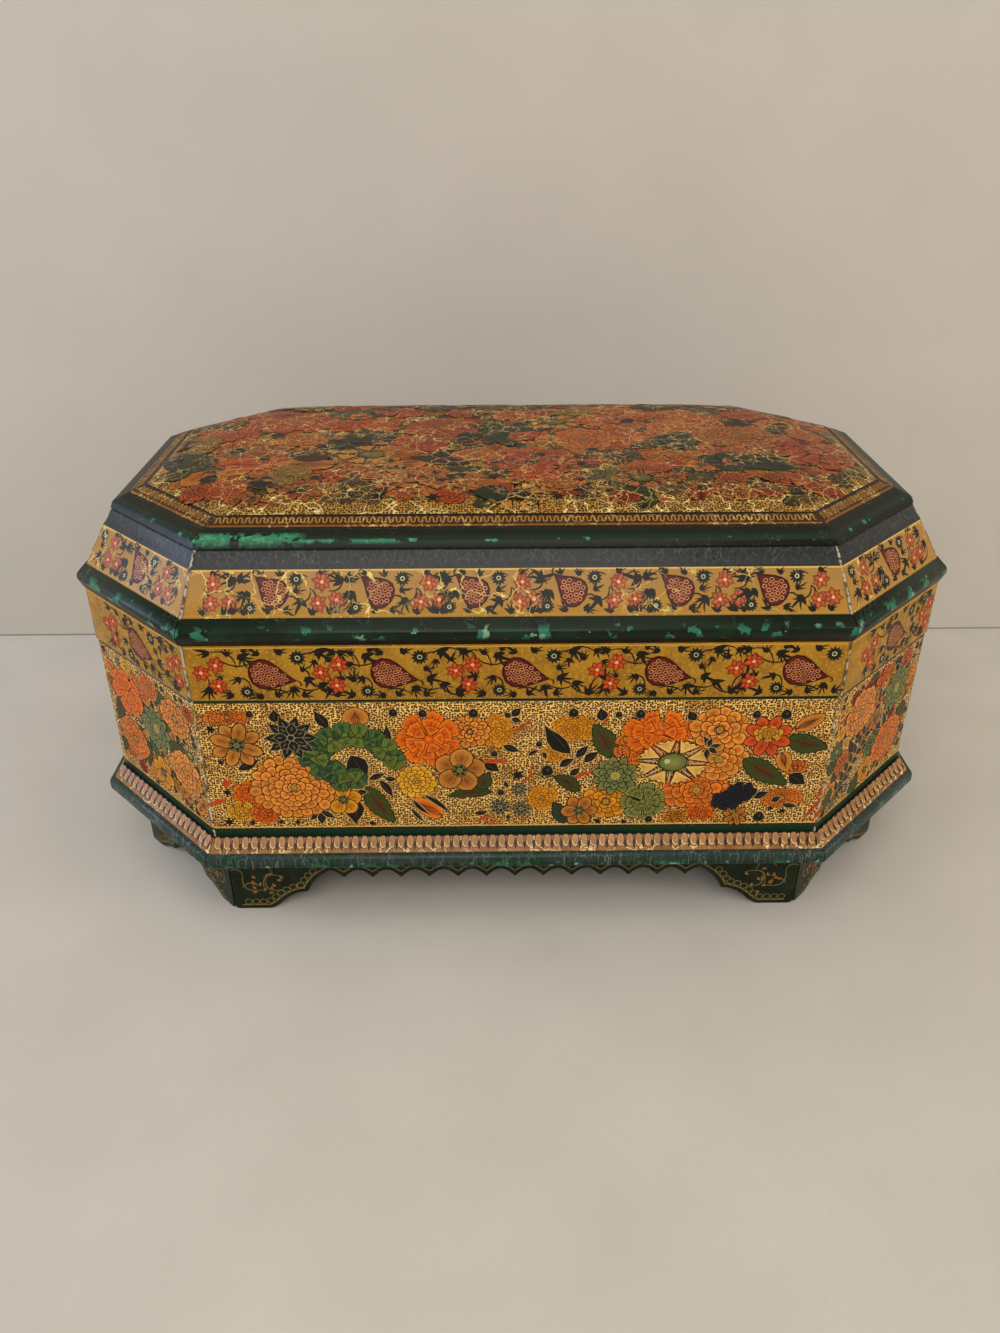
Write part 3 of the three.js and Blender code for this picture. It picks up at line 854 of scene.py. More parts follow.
def flake(film, outline, line, rim, heart, width=0.26, middle=None):
    """One stroke, with its outline given anticlockwise."""
    outline = np.asarray(outline, float)
    outline[:, 1] = np.clip(outline[:, 1], *film["mask"])
    inner = moved_in(outline, width)
    middle = inner.mean(axis=0) if middle is None else middle
    count, first = len(outline), len(film["points"])
    reach = np.abs(outline - middle).max()
    edge = resampled(np.vstack([outline, outline[:1]]), int(8 * reach) + 3) if reach > 1.2 else outline
    low = rest_on(film, np.concatenate([
        middle + (edge - middle) * share for share in np.linspace(0.1, 0.98, int(reach / 0.6) + 2)]))
    film["points"] += [(x, y, low) for x, y in outline]
    film["points"] += [(x, y, low + 0.1 * FLAKE) for x, y in inner]
    film["points"].append((middle[0], middle[1], low + 0.15 * FLAKE))
    for k in range(count):
        a, b = first + k, first + (k + 1) % count
        film["faces"] += [(a, b, b + count, a + count), (a + count, b + count, first + 2 * count)]
        film["tones"] += [line] * 4 + [rim, rim, heart]
    film["faces"].append(tuple(range(first + count - 1, first - 1, -1)))
    film["tones"] += [line] * count


def hang(film, name, surface, place, body, finish):
    """Makes a film of paint a piece. The surface function carries (x, y, height) to the face's own frame."""
    flat = np.array(film["points"])
    mesh = bpy.data.meshes.new(name)
    mesh.from_pydata((surface(flat[:, 0], flat[:, 1], flat[:, 2]) * MM).tolist(), [], film["faces"])
    mesh.transform(place)
    tones = mesh.color_attributes.new(name="paint", type="BYTE_COLOR", domain="CORNER")
    tones.data.foreach_set("color", np.column_stack((film["tones"], np.ones(len(film["tones"])))).ravel())
    piece = new_object(name, mesh)
    mesh.materials.append(finish)
    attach(piece, body)
    made[name] = piece
    print(name, len(film["faces"]), "faces, up to", round(float(flat[:, 2].max()), 2), "mm high")
    return piece


def upright(outward):
    """Surface of a vertical face that stands this far outward."""
    return lambda x, y, h: np.column_stack((x, -(outward + h), y))


def sloping(foot, head):
    """Surface of a leaning face between two (outward, height) lines. Its y runs up the slope."""
    run = np.subtract(head, foot)
    run = run / np.linalg.norm(run)
    return lambda x, y, h: np.column_stack((
        x, -(foot[0] + run[0] * y + run[1] * h), foot[1] + run[1] * y - run[0] * h))


def on_crown(x, y, h):
    return np.column_stack((x, y, crown_height(x, y) + h))


print("a flake is", FLAKE * 1000, "thousandths of a millimetre thick")

# %% [markdown]
# ### Brush strokes
# A petal, a leaf or a bud is one outline that is stretched, bent and turned. Each is kept as half widths at
# shares of its length.

# %% Outlines
PETAL = ((0, 0.1), (0.12, 0.3), (0.36, 0.47), (0.64, 0.5), (0.86, 0.36), (0.97, 0.14))
POINTED = ((0, 0.08), (0.16, 0.32), (0.4, 0.5), (0.66, 0.38), (0.86, 0.14))
LEAF = ((0, 0.04), (0.12, 0.28), (0.34, 0.5), (0.6, 0.42), (0.82, 0.17))
EGG = ((0, 0.16), (0.08, 0.36), (0.3, 0.5), (0.6, 0.47), (0.84, 0.32), (0.97, 0.12))
BOTEH = (
    (0, 0.12), (0.04, 0.27), (0.14, 0.43), (0.3, 0.5), (0.46, 0.45), (0.62, 0.33), (0.77, 0.19), (0.9, 0.08))
RUFFLE = (
    (0, 0.1), (0.28, 0.24), (0.56, 0.43), (0.78, 0.52), (0.93, 0.47), (0.89, 0.34), (1.01, 0.26),
    (0.94, 0.14), (1.05, 0.07))


def toothed(count):
    """A leaf's outline with saw teeth, each rising slowly and falling back."""
    rows = []
    for k in range(count):
        for share, full in ((0.05, 0.84), (0.9, 1.0)):
            at = (k + share) / count * 0.94
            rows.append((at, 0.5 * full * math.sin(math.pi * at ** 0.8) ** 0.8 + 0.03))
    return tuple(rows)


TOOTHED = toothed(7)


def stroke(shape, start, end, width, bend=0.0):
    """Points of an outline laid from start to end, its middle swung sideways by a share of its length."""
    (x0, y0), (x1, y1) = start, end
    length = math.hypot(x1 - x0, y1 - y0)
    along, across = ((x1 - x0) / length, (y1 - y0) / length), (-(y1 - y0) / length, (x1 - x0) / length)
    half = [(s, -w) for s, w in shape] + [(1.0, 0.0)] + [(s, w) for s, w in reversed(shape)]
    points = []
    for s, w in half:
        side = w * width + bend * length * 4 * s * (1 - s)
        points.append((x0 + along[0] * s * length + across[0] * side,
                       y0 + along[1] * s * length + across[1] * side))
    return points


def polar(x, y, reach, angle, high=None):
    """The point at this reach and angle from (x, y). High is the upward reach, where it differs."""
    return x + reach * math.cos(angle), y + (reach if high is None else high) * math.sin(angle)


def rays(x, y, outer, inner, count, start=0.0):
    """A star's outline."""
    return [polar(x, y, inner if k % 2 else outer, start + math.pi * k / count) for k in range(2 * count)]


def disc(x, y, radius, count=8, flat=1.0, start=0.0):
    return [polar(x, y, radius, start + 2 * math.pi * k / count, flat * radius) for k in range(count)]


def part_way(start, end, shares):
    """The points that lie these shares of the way from start to end."""
    return [(start[0] + (end[0] - start[0]) * t, start[1] + (end[1] - start[1]) * t) for t in shares]


def ribbon(film, path, width, line, fill=None, taper=True):
    """A line drawn with a brush along a path: it swells and thins, as hand-drawn stems do."""
    path = np.asarray(path, float)
    path[:, 1] = np.clip(path[:, 1], *film["mask"])
    side = leftward(np.gradient(path, axis=0))
    count = len(path)
    swell = 0.35 + 0.65 * np.sin(np.pi * (np.arange(count) + 0.5) / count) if taper else np.ones(count)
    left, right = (path + s * side * (width / 2 * swell)[:, None] for s in (1, -1))
    first = len(film["points"])
    low = rest_on(film, path)
    for row, lift in ((right, 0), (path, 0.15 * FLAKE), (left, 0)):
        film["points"] += [(x, y, low + lift) for x, y in row]
    for k in range(first, first + count - 1):
        middle, far = k + count, k + 2 * count
        film["faces"] += [
            (k, k + 1, middle + 1, middle), (middle, middle + 1, far + 1, far), (k, far, far + 1, k + 1)]
        film["tones"] += [line] * 2 + [fill or line] * 4 + [line] * 6
    for k, turn in ((first, 1), (first + count - 1, -1)):
        film["faces"].append((k, k + count, k + 2 * count)[::turn])
        film["tones"] += [line] * 3


def curl(start, end, bend, steps=9):
    """A curved path from start to end, swung sideways by a share of its length."""
    (x0, y0), (x1, y1) = start, end
    return [(x0 + (x1 - x0) * t - (y1 - y0) * bend * 4 * t * (1 - t),
             y0 + (y1 - y0) * t + (x1 - x0) * bend * 4 * t * (1 - t)) for t in np.linspace(0, 1, steps)]


print("points in a petal:", len(stroke(PETAL, (0, 0), (1, 0), 1)))

# %% [markdown]
# ### Flowers
# A traditional painter builds every flower from a few habits: petals in rings, the outer ring first; round
# petals about a dark heart; pointed ones with a pale edge. Each habit is one function, with its tones as
# arguments: line, rim, heart.

# %% Flower tones
SALMON = ("#621402", "#ee9e38", "#b8520e")
CORAL = ("#621402", "#ea8420", "#b04406")
ORANGE = ("#7a1e00", "#f07c08", "#cc4600")
YELLOW = ("#7c3c02", "#f0bc2c", "#cc7a0a")
AMBER = ("#6c2c02", "#e49c18", "#b66204")
BUFF = ("#420e04", "#cc8430", "#8c4a10")
RED = ("#5c1404", "#d8541a", "#a0300a")
NAVY = ("#05070c", "#1a2230", "#0d1018")
BLACK = ("#050503", "#17150e", "#0c0b07")
MOSS = ("#0d1406", "#838548", "#485024")
LEAFY = ("#121c08", "#8c8a42", "#566026")
GREEN = ("#0a1606", "#2e5220", "#424e14")
BROWN_LEAF = ("#0a1605", "#2c4a16", "#58260e")
FERN = ("#071008", "#24402a", "#2c3a18")
UMBER = ("#0c0804", "#38240f", "#4e2a12")
SCARLET = ("#4a1003", "#d66a28", "#9c420e")
RUST = ("#461a06", "#e0984a", "#ac6a2c")
STRAW = ("#3a3008", "#c4ac4c", "#8c7c2c")


def ringed(count):
    """The order of a ring's petals: every other one first, so that the rest lie over them."""
    return [*range(0, count, 2), *range(1, count, 2)]


def mixed(rnd, tones, spread=0.1):
    """The three tones of a flower, a little lighter or darker from stroke to stroke."""
    factor = 1 + rnd.uniform(-spread, spread)
    return shade(tones[0]), shade(tones[1], factor), shade(tones[2], factor)


# %% Many-petalled flowers
def peony(film, rnd, x, y, wide, high, tones=SALMON, size=4.6, line=0.38):
    """Rings of petals, from the outer ring in. Size is a petal's length in mm."""
    full, turn = size, rnd.random()
    radius = largest = max(wide, high)
    while radius > 0.4 * size:
        size = full * (0.74 + 0.4 * radius / largest)
        count = max(4, round(2 * math.pi * (radius - 0.3 * size) / (0.82 * size)))
        for k in ringed(count):
            angle = 2 * math.pi * (k + turn + rnd.uniform(-0.12, 0.12)) / count
            far = radius * rnd.uniform(0.93, 1.05)
            near = max(0.0, far - size * rnd.uniform(0.95, 1.15))
            ends = [(x + r * math.cos(angle) * wide / largest, y + r * math.sin(angle) * high / largest)
                    for r in (near, far)]
            flake(film, stroke(PETAL, *ends, size * rnd.uniform(0.86, 1.1), rnd.uniform(-0.06, 0.06)),
                  *mixed(rnd, tones, 0.17), line)
        radius -= 0.62 * size
        turn += 0.5
    flake(film, disc(x, y, 0.42 * size, 7), *mixed(rnd, ("#4a3208", "#c09438", "#8c7024")), line)


def pompon(film, rnd, x, y, wide, high, tones=AMBER):
    peony(film, rnd, x, y, wide, high, tones, 2.6, 0.26)


def poppy(film, rnd, x, y, radius, count=5, tones=BUFF, dark=True):
    """Round petals about a dark heart, each with a few veins."""
    turn = rnd.random()
    for k in ringed(count):
        angle = 2 * math.pi * (k + turn) / count + rnd.uniform(-0.08, 0.08)
        tip = polar(x, y, radius, angle)
        flake(film, stroke(PETAL, (x, y), tip, radius * 4.6 / count * rnd.uniform(0.92, 1.05)),
              *mixed(rnd, tones), 0.42)
        for side in (-0.35, 0, 0.35):
            vein = curl(polar(x, y, 0.3 * radius, angle + side), polar(x, y, 0.72 * radius, angle + side),
                        0.1 * side, 4)
            ribbon(film, vein, 0.22, shade(tones[2], 0.6))
    heart = BLACK if dark else AMBER
    flake(film, disc(x, y, 0.3 * radius, 8), *mixed(rnd, ("#4a4420", "#5e5a30", "#6a6030")), 0.2)
    flake(film, rays(x, y, 0.34 * radius, 0.12 * radius, 6, turn), *mixed(rnd, heart), 0.1)
    flake(film, disc(x, y, 0.13 * radius, 6), *mixed(rnd, ("#2a2c10", "#868248", "#5a5a2c")), 0.08)


def ruffled(film, rnd, x, y, wide, high, tones=ORANGE):
    """A big loose flower: broad frilled petals in rings, veined in red."""
    for share, count in ((1.0, 7), (0.74, 6), (0.48, 5)):
        turn = rnd.random()
        for k in ringed(count):
            angle = 2 * math.pi * (k + turn) / count
            tip = polar(x, y, wide * share, angle, high * share)
            near = polar(x, y, 0.1 * wide, angle, 0.1 * high)
            width = 1.5 * math.pi * 0.5 * (wide + high) * share / count
            flake(film, stroke(RUFFLE, near, tip, width, rnd.uniform(-0.05, 0.05)), *mixed(rnd, tones), 0.32)
            for side in (-0.3, 0, 0.28):
                vein = [(near[0] + (tip[0] - near[0]) * t - (tip[1] - near[1]) * side * t,
                         near[1] + (tip[1] - near[1]) * t + (tip[0] - near[0]) * side * t)
                        for t in (0.5, 0.66, 0.82)]
                ribbon(film, vein, 0.26, shade(tones[0], 1.1))
    flake(film, disc(x, y, 0.16 * wide, 8, high / wide), *mixed(rnd, (tones[0], tones[2], tones[1])), 0.2)


print("flower habits: peony, pompon, poppy, ruffled")

# %% Pointed flowers, leaves and buds
def black_star(film, rnd, x, y, radius, count=10, tones=BLACK, edge="#b3a06c"):
    """Pointed dark petals with a pale edge and a grey gleam."""
    for ring, size in ((count, 1.0), (count - 3, 0.66)):
        for k in ringed(ring):
            angle = 2 * math.pi * (k + 0.5 * (size < 1)) / ring + rnd.uniform(-0.05, 0.05)
            near, far = (polar(x, y, r, angle) for r in (0.12 * radius, size * radius))
            width = 4.4 * radius * size / ring
            flake(film, stroke(POINTED, near, far, width), shade(edge, 0.9), *mixed(rnd, tones)[1:], 0.17)
            ribbon(film, part_way(near, far, (0.35, 0.5, 0.68)), 0.14 * width, shade("#605e54"))
    flake(film, disc(x, y, 0.13 * radius, 7), shade(edge), *mixed(rnd, tones)[1:], 0.12)


def rosette(film, rnd, x, y, radius, tones=MOSS, count=11):
    for size, ring in ((1.0, count), (0.72, count - 1), (0.46, count - 3)):
        for k in ringed(ring):
            angle = 2 * math.pi * (k + 0.5 * (size == 0.72)) / ring + rnd.uniform(-0.06, 0.06)
            near, far = (polar(x, y, r, angle) for r in (0.15 * radius, size * radius))
            flake(film, stroke(EGG, near, far, 5.6 * radius * size / ring), *mixed(rnd, tones), 0.36)
    flake(film, disc(x, y, 0.22 * radius, 8), *mixed(rnd, ("#4a4a1c", "#b3a04a", "#8c7c34")), 0.15)


SCALLOPS = (
    (-0.13, 0.42), (-0.36, 1.0), (-0.24, 0.92), (-0.12, 1.03), (0, 0.94), (0.12, 1.03), (0.24, 0.92),
    (0.36, 1.0), (0.13, 0.42))


def wedge_daisy(film, rnd, x, y, wide, high, count=8, tones=("#1e0e05", "#f0c066", "#d89a3a")):
    """Wedge-shaped yellow petals with scalloped ends about a green eye."""
    for k in range(count):
        middle = 2 * math.pi * k / count + 0.3
        outline = []
        for side, reach in SCALLOPS:
            outline.append(polar(x, y, reach * wide, middle + side, reach * high))
        flake(film, outline, *mixed(rnd, tones, 0.06), 0.5)
        spots = [polar(x, y, r * wide, middle + 0.39, r * high) for r in (0.5, 0.66, 0.82)]
        ribbon(film, spots, 0.8, shade("#7a3a22"), shade("#d9c9a4"), False)
    flake(film, disc(x, y, 0.42 * wide, 12, high / wide), *mixed(rnd, ("#1a1c0a", "#5d672c", "#8d8c46")), 0.4)
    flake(film, disc(x - 0.16 * wide, y + 0.04 * high, 0.09 * wide, 6), *(shade("#b6c08a"),) * 3, 0.05)


def toothed_leaf(film, rnd, x0, y0, x1, y1, width, tones=BROWN_LEAF):
    bend = rnd.uniform(-0.06, 0.06)
    flake(film, stroke(TOOTHED, (x0, y0), (x1, y1), width, bend), *mixed(rnd, tones), 0.4)
    (far,) = part_way((x0, y0), (x1, y1), (0.86,))
    ribbon(film, curl((x0, y0), far, bend, 7), 0.3, shade("#2a130c"))
    for t in (0.25, 0.42, 0.6):
        for side in (1, -1):
            fx, fy = x0 + t * (x1 - x0), y0 + t * (y1 - y0)
            ex = fx + 0.2 * (x1 - x0) - side * (y1 - y0) * 0.3 * width / math.hypot(x1 - x0, y1 - y0)
            ey = fy + 0.2 * (y1 - y0) + side * (x1 - x0) * 0.3 * width / math.hypot(x1 - x0, y1 - y0)
            ribbon(film, [(fx, fy), ((fx + ex) / 2, (fy + ey) / 2), (ex, ey)], 0.16, shade("#2c2412"))


def dark_leaf(film, rnd, x0, y0, x1, y1, width, tones=BLACK):
    flake(film, stroke(LEAF, (x0, y0), (x1, y1), 1.15 * width, rnd.uniform(-0.08, 0.08)),
          shade("#d2ac6a"), *mixed(rnd, tones)[1:], 0.2)
    ribbon(film, part_way((x0, y0), (x1, y1), (0.2, 0.45, 0.7)), 0.18, shade("#5a5232"))


def bud(film, rnd, x, y, radius, tones=BLACK):
    """A dark bud with a few short bristles."""
    for angle in (-2.2, -1.57, -0.95):
        flake(film, stroke(POINTED, (x, y), polar(x, y, 1.5 * radius, angle), 0.7 * radius),
              *mixed(rnd, tones), 0.08)
    flake(film, stroke(EGG, (x, y - radius), (x, y + radius * 1.1), 2 * radius),
          shade("#b89a5c"), *mixed(rnd, tones)[1:], 0.15)
    flake(film, disc(x + 0.1 * radius, y + 0.2 * radius, 0.25 * radius, 5), *(shade("#4a4a34"),) * 3, 0.05)


def tuft(film, rnd, x, y, radius, tones=BLACK):
    flake(film, rays(x, y, radius * 1.2, 0.55 * radius, 6, rnd.random()), *mixed(rnd, tones), 0.1)


def half_closed(film, rnd, x0, y0, x1, y1, width, tones=BUFF):
    """A bud that shows its petals, in a thin dark cup."""
    flake(film, stroke(EGG, (x0, y0), (x1, y1), width), *mixed(rnd, tones), 0.3)
    length = math.hypot(x1 - x0, y1 - y0)
    for side in (-0.24, -0.12, 0, 0.12, 0.24):
        (far,) = part_way((x0, y0), (x1, y1), (0.86 - abs(side),))
        ribbon(film, curl((x0, y0), far, side * width / length, 5), 0.24, shade(tones[0]))


def red_stroke(film, rnd, x0, y0, x1, y1, width, tones=RED):
    for side in (-1, 1):
        flake(film, stroke(LEAF, (x0 + 0.3 * side * width, y0), (x1, y1), 0.6 * width, 0.05 * side),
              *mixed(rnd, tones, 0.2), 0.08)


print("leaves:", len(TOOTHED), "teeth points to a side")

# %% Curled leaf
SEA = (
    ("#06140a", "#46662c", "#1a3a22"), ("#06140a", "#6c762a", "#38521e"), ("#06140a", "#30522e", "#122e1e"))


def curled_leaf(film, rnd, spine, width, count=12):
    """A long green leaf that rolls up at its tip: lobes along both sides of a spine, with frilled ends."""
    spine = resampled(spine, count)
    ahead = np.gradient(spine, axis=0)
    ahead /= np.linalg.norm(ahead, axis=1, keepdims=True)
    side = np.column_stack((-ahead[:, 1], ahead[:, 0]))
    for place in spine:
        flake(film, disc(*place, 0.75 * width, 10), *mixed(rnd, rnd.choice(SEA)), 0.2)
    for reach, share in ((-1, 1.05), (1, 0.75)):
        for k in ringed(count):
            taper = share * (0.6 + 0.4 * math.sin(math.pi * (k + 1) / (count + 1)))
            tip = spine[k] + reach * side[k] * width * taper * rnd.uniform(0.9, 1.1) + 0.15 * width * ahead[k]
            root = spine[k] - reach * 0.3 * side[k] * width
            flake(film, stroke(RUFFLE, root, tip, 1.05 * width), *mixed(rnd, rnd.choice(SEA), 0.15), 0.3)
            for turn in (-0.5, 0, 0.5):
                vein = [root + (tip - root) * t + turn * t * 0.6 * width * ahead[k]
                        for t in (0.45, 0.66, 0.88)]
                ribbon(film, vein, 0.2, shade("#7c8a44" if turn else "#0e2c1c"))
    ribbon(film, spine, 0.1 * width, shade("#0c2012"), shade("#3c5a28"))


# %% [markdown]
# ### Friezes
# The lid's two friezes repeat one unit: a crimson boteh filled with small rings, three red flowers, two
# dark daisies, and dark sprigs on thin scrolling stems. The lower frieze has its botehs lying with the tail
# to the right, the upper one hanging with the tail up to the left.

# %% Frieze motifs
def boteh(film, rnd, x, y, length, width, angle, tones=("#3c0502", "#5c140c", "#742414"), ring="#dc965c"):
    """A tear shape from its round end to its tail, filled with rings."""
    c, s = math.cos(angle), math.sin(angle)
    start, end = polar(x, y, -0.42 * length, angle), polar(x, y, 0.58 * length, angle)
    flake(film, stroke(BOTEH, start, end, width, -0.06), *mixed(rnd, tones, 0.05), 0.75)
    ribbon(film, curl(end, polar(*end, 2.4, angle - 0.9), 0.25, 5), 0.6, shade(tones[0]))
    step = 1.98
    for row in range(-3, 4):
        for column in range(8):
            along, across = (column + 0.5 * (row % 2)) * step + 1.5, row * 0.84 * step
            share = along / length
            room = np.interp(share, *zip(*((0, 0.0), *BOTEH, (1, 0)))) * width - 1.35
            if share > 0.8 or abs(across) > room:
                continue
            side = across - 0.06 * length * 4 * share * (1 - share)
            at = (start[0] + along * c - side * s + rnd.uniform(-0.15, 0.15),
                  start[1] + along * s + side * c + rnd.uniform(-0.15, 0.15))
            flake(film, disc(*at, 0.88, 7, 0.9, rnd.random()), shade(ring, rnd.uniform(0.75, 1.1)),
                  shade("#6c1c0e"), shade("#4c0c06"), 0.27)


def red_flower(film, rnd, x, y, radius, tones):
    turn = rnd.random()
    for k in ringed(7):
        angle = 2 * math.pi * (k + turn) / 7 + rnd.uniform(-0.15, 0.15)
        tip = polar(x, y, radius * rnd.uniform(0.88, 1.15), angle)
        flake(film, stroke(POINTED, (x, y), tip, 0.68 * radius), *mixed(rnd, tones, 0.15), 0.2)
    flake(film, disc(x, y, 0.2 * radius, 6), *(shade("#f0b070"),) * 3, 0.06)


def dark_daisy(film, rnd, x, y, radius):
    flake(film, rays(x, y, radius, 0.66 * radius, 12, rnd.random()),
          *mixed(rnd, ("#14180f", "#1a2016", "#12160f")), 0.1)
    flake(film, disc(x, y, 0.3 * radius, 8),
          shade("#d8cf9a", rnd.uniform(0.8, 1.05)), *(shade("#232a1c"),) * 2, 0.32)


def hand_leaf(film, rnd, x, y, length, angle, fingers=5, tones=("#0a0a05", "#16150c", "#0e0e08")):
    """A small dark leaf whose pointed fingers spread from its foot."""
    outline = []
    length *= 1.34
    for k in range(fingers):
        place = (k - (fingers - 1) / 2) / max(1, (fingers - 1) / 2)
        out = angle + 1.05 * place + rnd.uniform(-0.12, 0.12)
        far = length * (1 - 0.42 * abs(place)) * rnd.uniform(0.85, 1.12)
        gap = 0.5 * 2.1 / fingers
        for turn, reach in ((-gap, 0.22 * length), (-0.2 * gap, 0.62 * far), (0.14, far)):
            outline.append(polar(x, y, reach, out + turn))
    for turn, share in ((1.9, 0.3), (0, -0.25), (-1.9, 0.3)):
        outline.append(polar(x, y, share * length, angle + turn))
    flake(film, outline, *mixed(rnd, tones), 0.08, np.array(polar(x, y, 0.12 * length, angle)))


print("frieze motifs ready")

# %% Units of the friezes
LOWER_UNIT = {
    "stems": (
        (-18, 7, -4.2, 5.2, -0.22), (-4.2, 5.2, -9.5, 7.5, 0.2), (8, -4.6, 18, -5.6, -0.18),
        (9, 4.6, 18, 8.2, 0.15), (11, 2.4, 14, -2.6, 0.2), (-22, -1, -24, -7, 0.25),
        (-12, -1.8, -7, -6.5, 0.3), (14.6, 7.4, 24, 8.6, 0.2), (24, 8.6, 30, 5, 0.25),
        (16, -4, 26.5, -8.8, -0.2), (-2, -7, 6.5, -8.6, 0.15), (-20, 8.4, -11, 2.2, 0.3),
        (18, 8.2, 19.5, 3.4, 0.3), (29, -1, 24, -7.5, -0.2),
    ),
    "leaves": (
        (-20.6, 8.2, 3.8, 2.4), (-14.2, 7.8, 3.2, 1.2), (-9.2, 6.6, 4.6, -1.0), (-3.2, 8.0, 3.4, 2.2),
        (4.2, 8.4, 3.8, 0.8), (17.6, 8.0, 4.6, -0.6), (-10.6, -2.2, 3.4, 3.6), (13.6, -2.6, 4.4, -0.7),
        (18.4, -4.8, 4.0, -0.9), (25.6, 8.2, 3.6, -1.2), (-21.6, -6.6, 4.4, -2.1), (-14.4, -8.8, 3.8, 2.8),
        (-3.4, -9.2, 3.6, 3.4), (2.4, -8.8, 3.4, 0.6), (7.6, -6.4, 4.0, -1.7), (11.6, -8.8, 3.4, 0.2),
        (23.6, -8.6, 4.0, 0.5), (12.2, 1.4, 2.8, 0.4), (28.8, -2.6, 3.8, 1.3), (16.0, 4.6, 3.0, -1.9),
        (-7.6, 9.2, 2.8, 0.4), (21.4, 5.2, 3.0, 1.2), (27.6, 3.6, 3.0, -0.6), (-17.2, -2.0, 2.6, 1.9),
    ),
    "flowers": ((-18.2, 3.2, 3.7), (-24.2, 0.6, 3.6), (-19.0, -4.8, 3.6)),
    "daisies": ((10.2, 6.2, 3.2), (-8.4, -7.4, 2.9)),
}
UPPER_UNIT = {
    "stems": (
        (-6.5, 4.4, -13, 5.6, 0.2), (5, -1.5, 9.2, -3.2, 0.25), (9.2, -3.2, 13.4, 1.4, -0.3),
        (13.4, 1.4, 15, -2.4, 0.2), (6.2, 4.6, 12.5, 5.4, 0.2), (19.6, 0.6, 24.6, 4.2, -0.25),
        (24.6, 4.2, 30, 5.2, 0.2), (21, -6.4, 27, -3.6, -0.2), (-5.4, -5.2, -12, -5.8, 0.2),
        (19, 4.8, 24, 6.2, 0.2),
    ),
    "leaves": (
        (-10.2, 4.6, 3.8, 0.2), (-8.6, -0.6, 4.0, 3.7), (3.0, 6.0, 2.8, 1.4), (9.6, -3.0, 4.4, -2.2),
        (8.6, 0.6, 2.8, 0.2), (5.2, -6.0, 3.2, -0.6), (-1.4, -6.4, 3.2, 1.6), (13.6, -6.8, 3.4, 1.4),
        (23.6, 4.2, 4.6, 2.6), (-13.6, -6.4, 3.2, 1.5), (20.4, -6.6, 3.2, 0.9), (26.4, -0.6, 3.8, -2.4),
        (-3.4, 6.4, 2.8, 2.0), (16.6, 6.6, 3.0, 0.4), (-9.8, -6.8, 2.8, 0.6),
    ),
    "flowers": ((17.0, 3.4, 3.5), (15.6, -3.4, 3.4), (21.8, -2.8, 3.4)),
    "daisies": ((9.0, 4.6, 2.8), (-7.6, -5.2, 2.5)),
}


def paint_unit(film, rnd, unit, x, middle, inside, boteh_size, tones):
    for x0, y0, x1, y1, bend in unit["stems"]:
        if inside(x + x0, middle + y0) and inside(x + x1, middle + y1):
            stem = curl((x + x0, middle + y0), (x + x1, middle + y1), bend, 7)
            ribbon(film, stem, 0.6, shade("#12130a"))
    for dx, dy, length, angle in unit["leaves"]:
        if inside(x + dx, middle + dy):
            hand_leaf(film, rnd, x + dx + rnd.uniform(-0.5, 0.5), middle + dy, length,
                      angle + rnd.uniform(-0.3, 0.3), rnd.choice((3, 4, 5, 5)))
    for dx, dy, radius in unit["flowers"]:
        if inside(x + dx, middle + dy):
            red_flower(film, rnd, x + dx + rnd.uniform(-0.8, 0.8), middle + dy + rnd.uniform(-0.3, 0.3),
                       radius, tones)
    for dx, dy, radius in unit["daisies"]:
        if inside(x + dx, middle + dy):
            dark_daisy(film, rnd, x + dx + rnd.uniform(-0.6, 0.6), middle + dy, radius)
    if inside(x, middle):
        boteh(film, rnd, x, middle, *boteh_size)


print("leaves in a unit:", len(LOWER_UNIT["leaves"]), len(UPPER_UNIT["leaves"]))

# %% [markdown]
# ### Finishes of the strokes
# Gouache is opaque and matt, and the varnish over it evens the gloss out. The strokes keep their tones from
# the attribute "paint", a little mottled as thin paint over gold is. On the lid the varnish's crackle runs
# on over the flowers, so their finish repeats it, from the same Object coordinates as the ground.

# %% Gouache
def gouache(name, coat, layers=(), glaze="#ffffff", dirt=0.2):
    """Strokes of paint under a glaze. Layers hold a crackle's size and width, its patches and its colour."""
    material, tree, shader, where = new_finish(name, 0.5, coat, 0.2)
    paint = add(tree, "ShaderNodeAttribute", attribute_name="paint").outputs["Color"]
    paint = add(tree, "ShaderNodeMix", {0: 1.0, 6: paint, 7: tone(glaze)}, data_type="RGBA",
                blend_type="MULTIPLY").outputs[2]
    mottled = patches(tree, where, 1.1, 0.35, 0.7)
    darker = add(tree, "ShaderNodeMix", {0: dirt, 6: paint, 7: tone("#2a1406")}, data_type="RGBA").outputs[2]
    colour = paint_over(tree, paint, [(mottled, darker)])
    for cell, width, start, end, cracked in layers:
        splits = crackle(tree, where, cell, width, start, end)
        colour = paint_over(tree, colour, [(splits, cracked, 0.7)])
        relief(tree, shader, splits, 0.03)
    colour_with(tree, shader, colour)
    print(name, len(tree.nodes), "nodes")
    return material


plain_gouache = gouache("gouache strokes under varnish", 0.2)
frieze_gouache = gouache("gouache strokes under crackled varnish", 0.22, [(8, 0.24, 0.46, 0.58, "#f4d97c")])
crown_gouache = gouache("gouache strokes under heavily crackled varnish", 0.2, [
    (6, 0.2, 0.42, 0.54, "#e6c070"), (3, 0.1, 0.5, 0.62, "#b88c48")], "#c4a67e", 0.3)

# %% [markdown]
# ### Composing a panel
# The front panel's flowers are set where the casket has them. The other panels are composed by the same
# habits: a few large flowers, then smaller ones wherever there is still room, leaves that look out from
# under them, and buds and tufts in the gaps. The small things are painted first and the large flowers last.

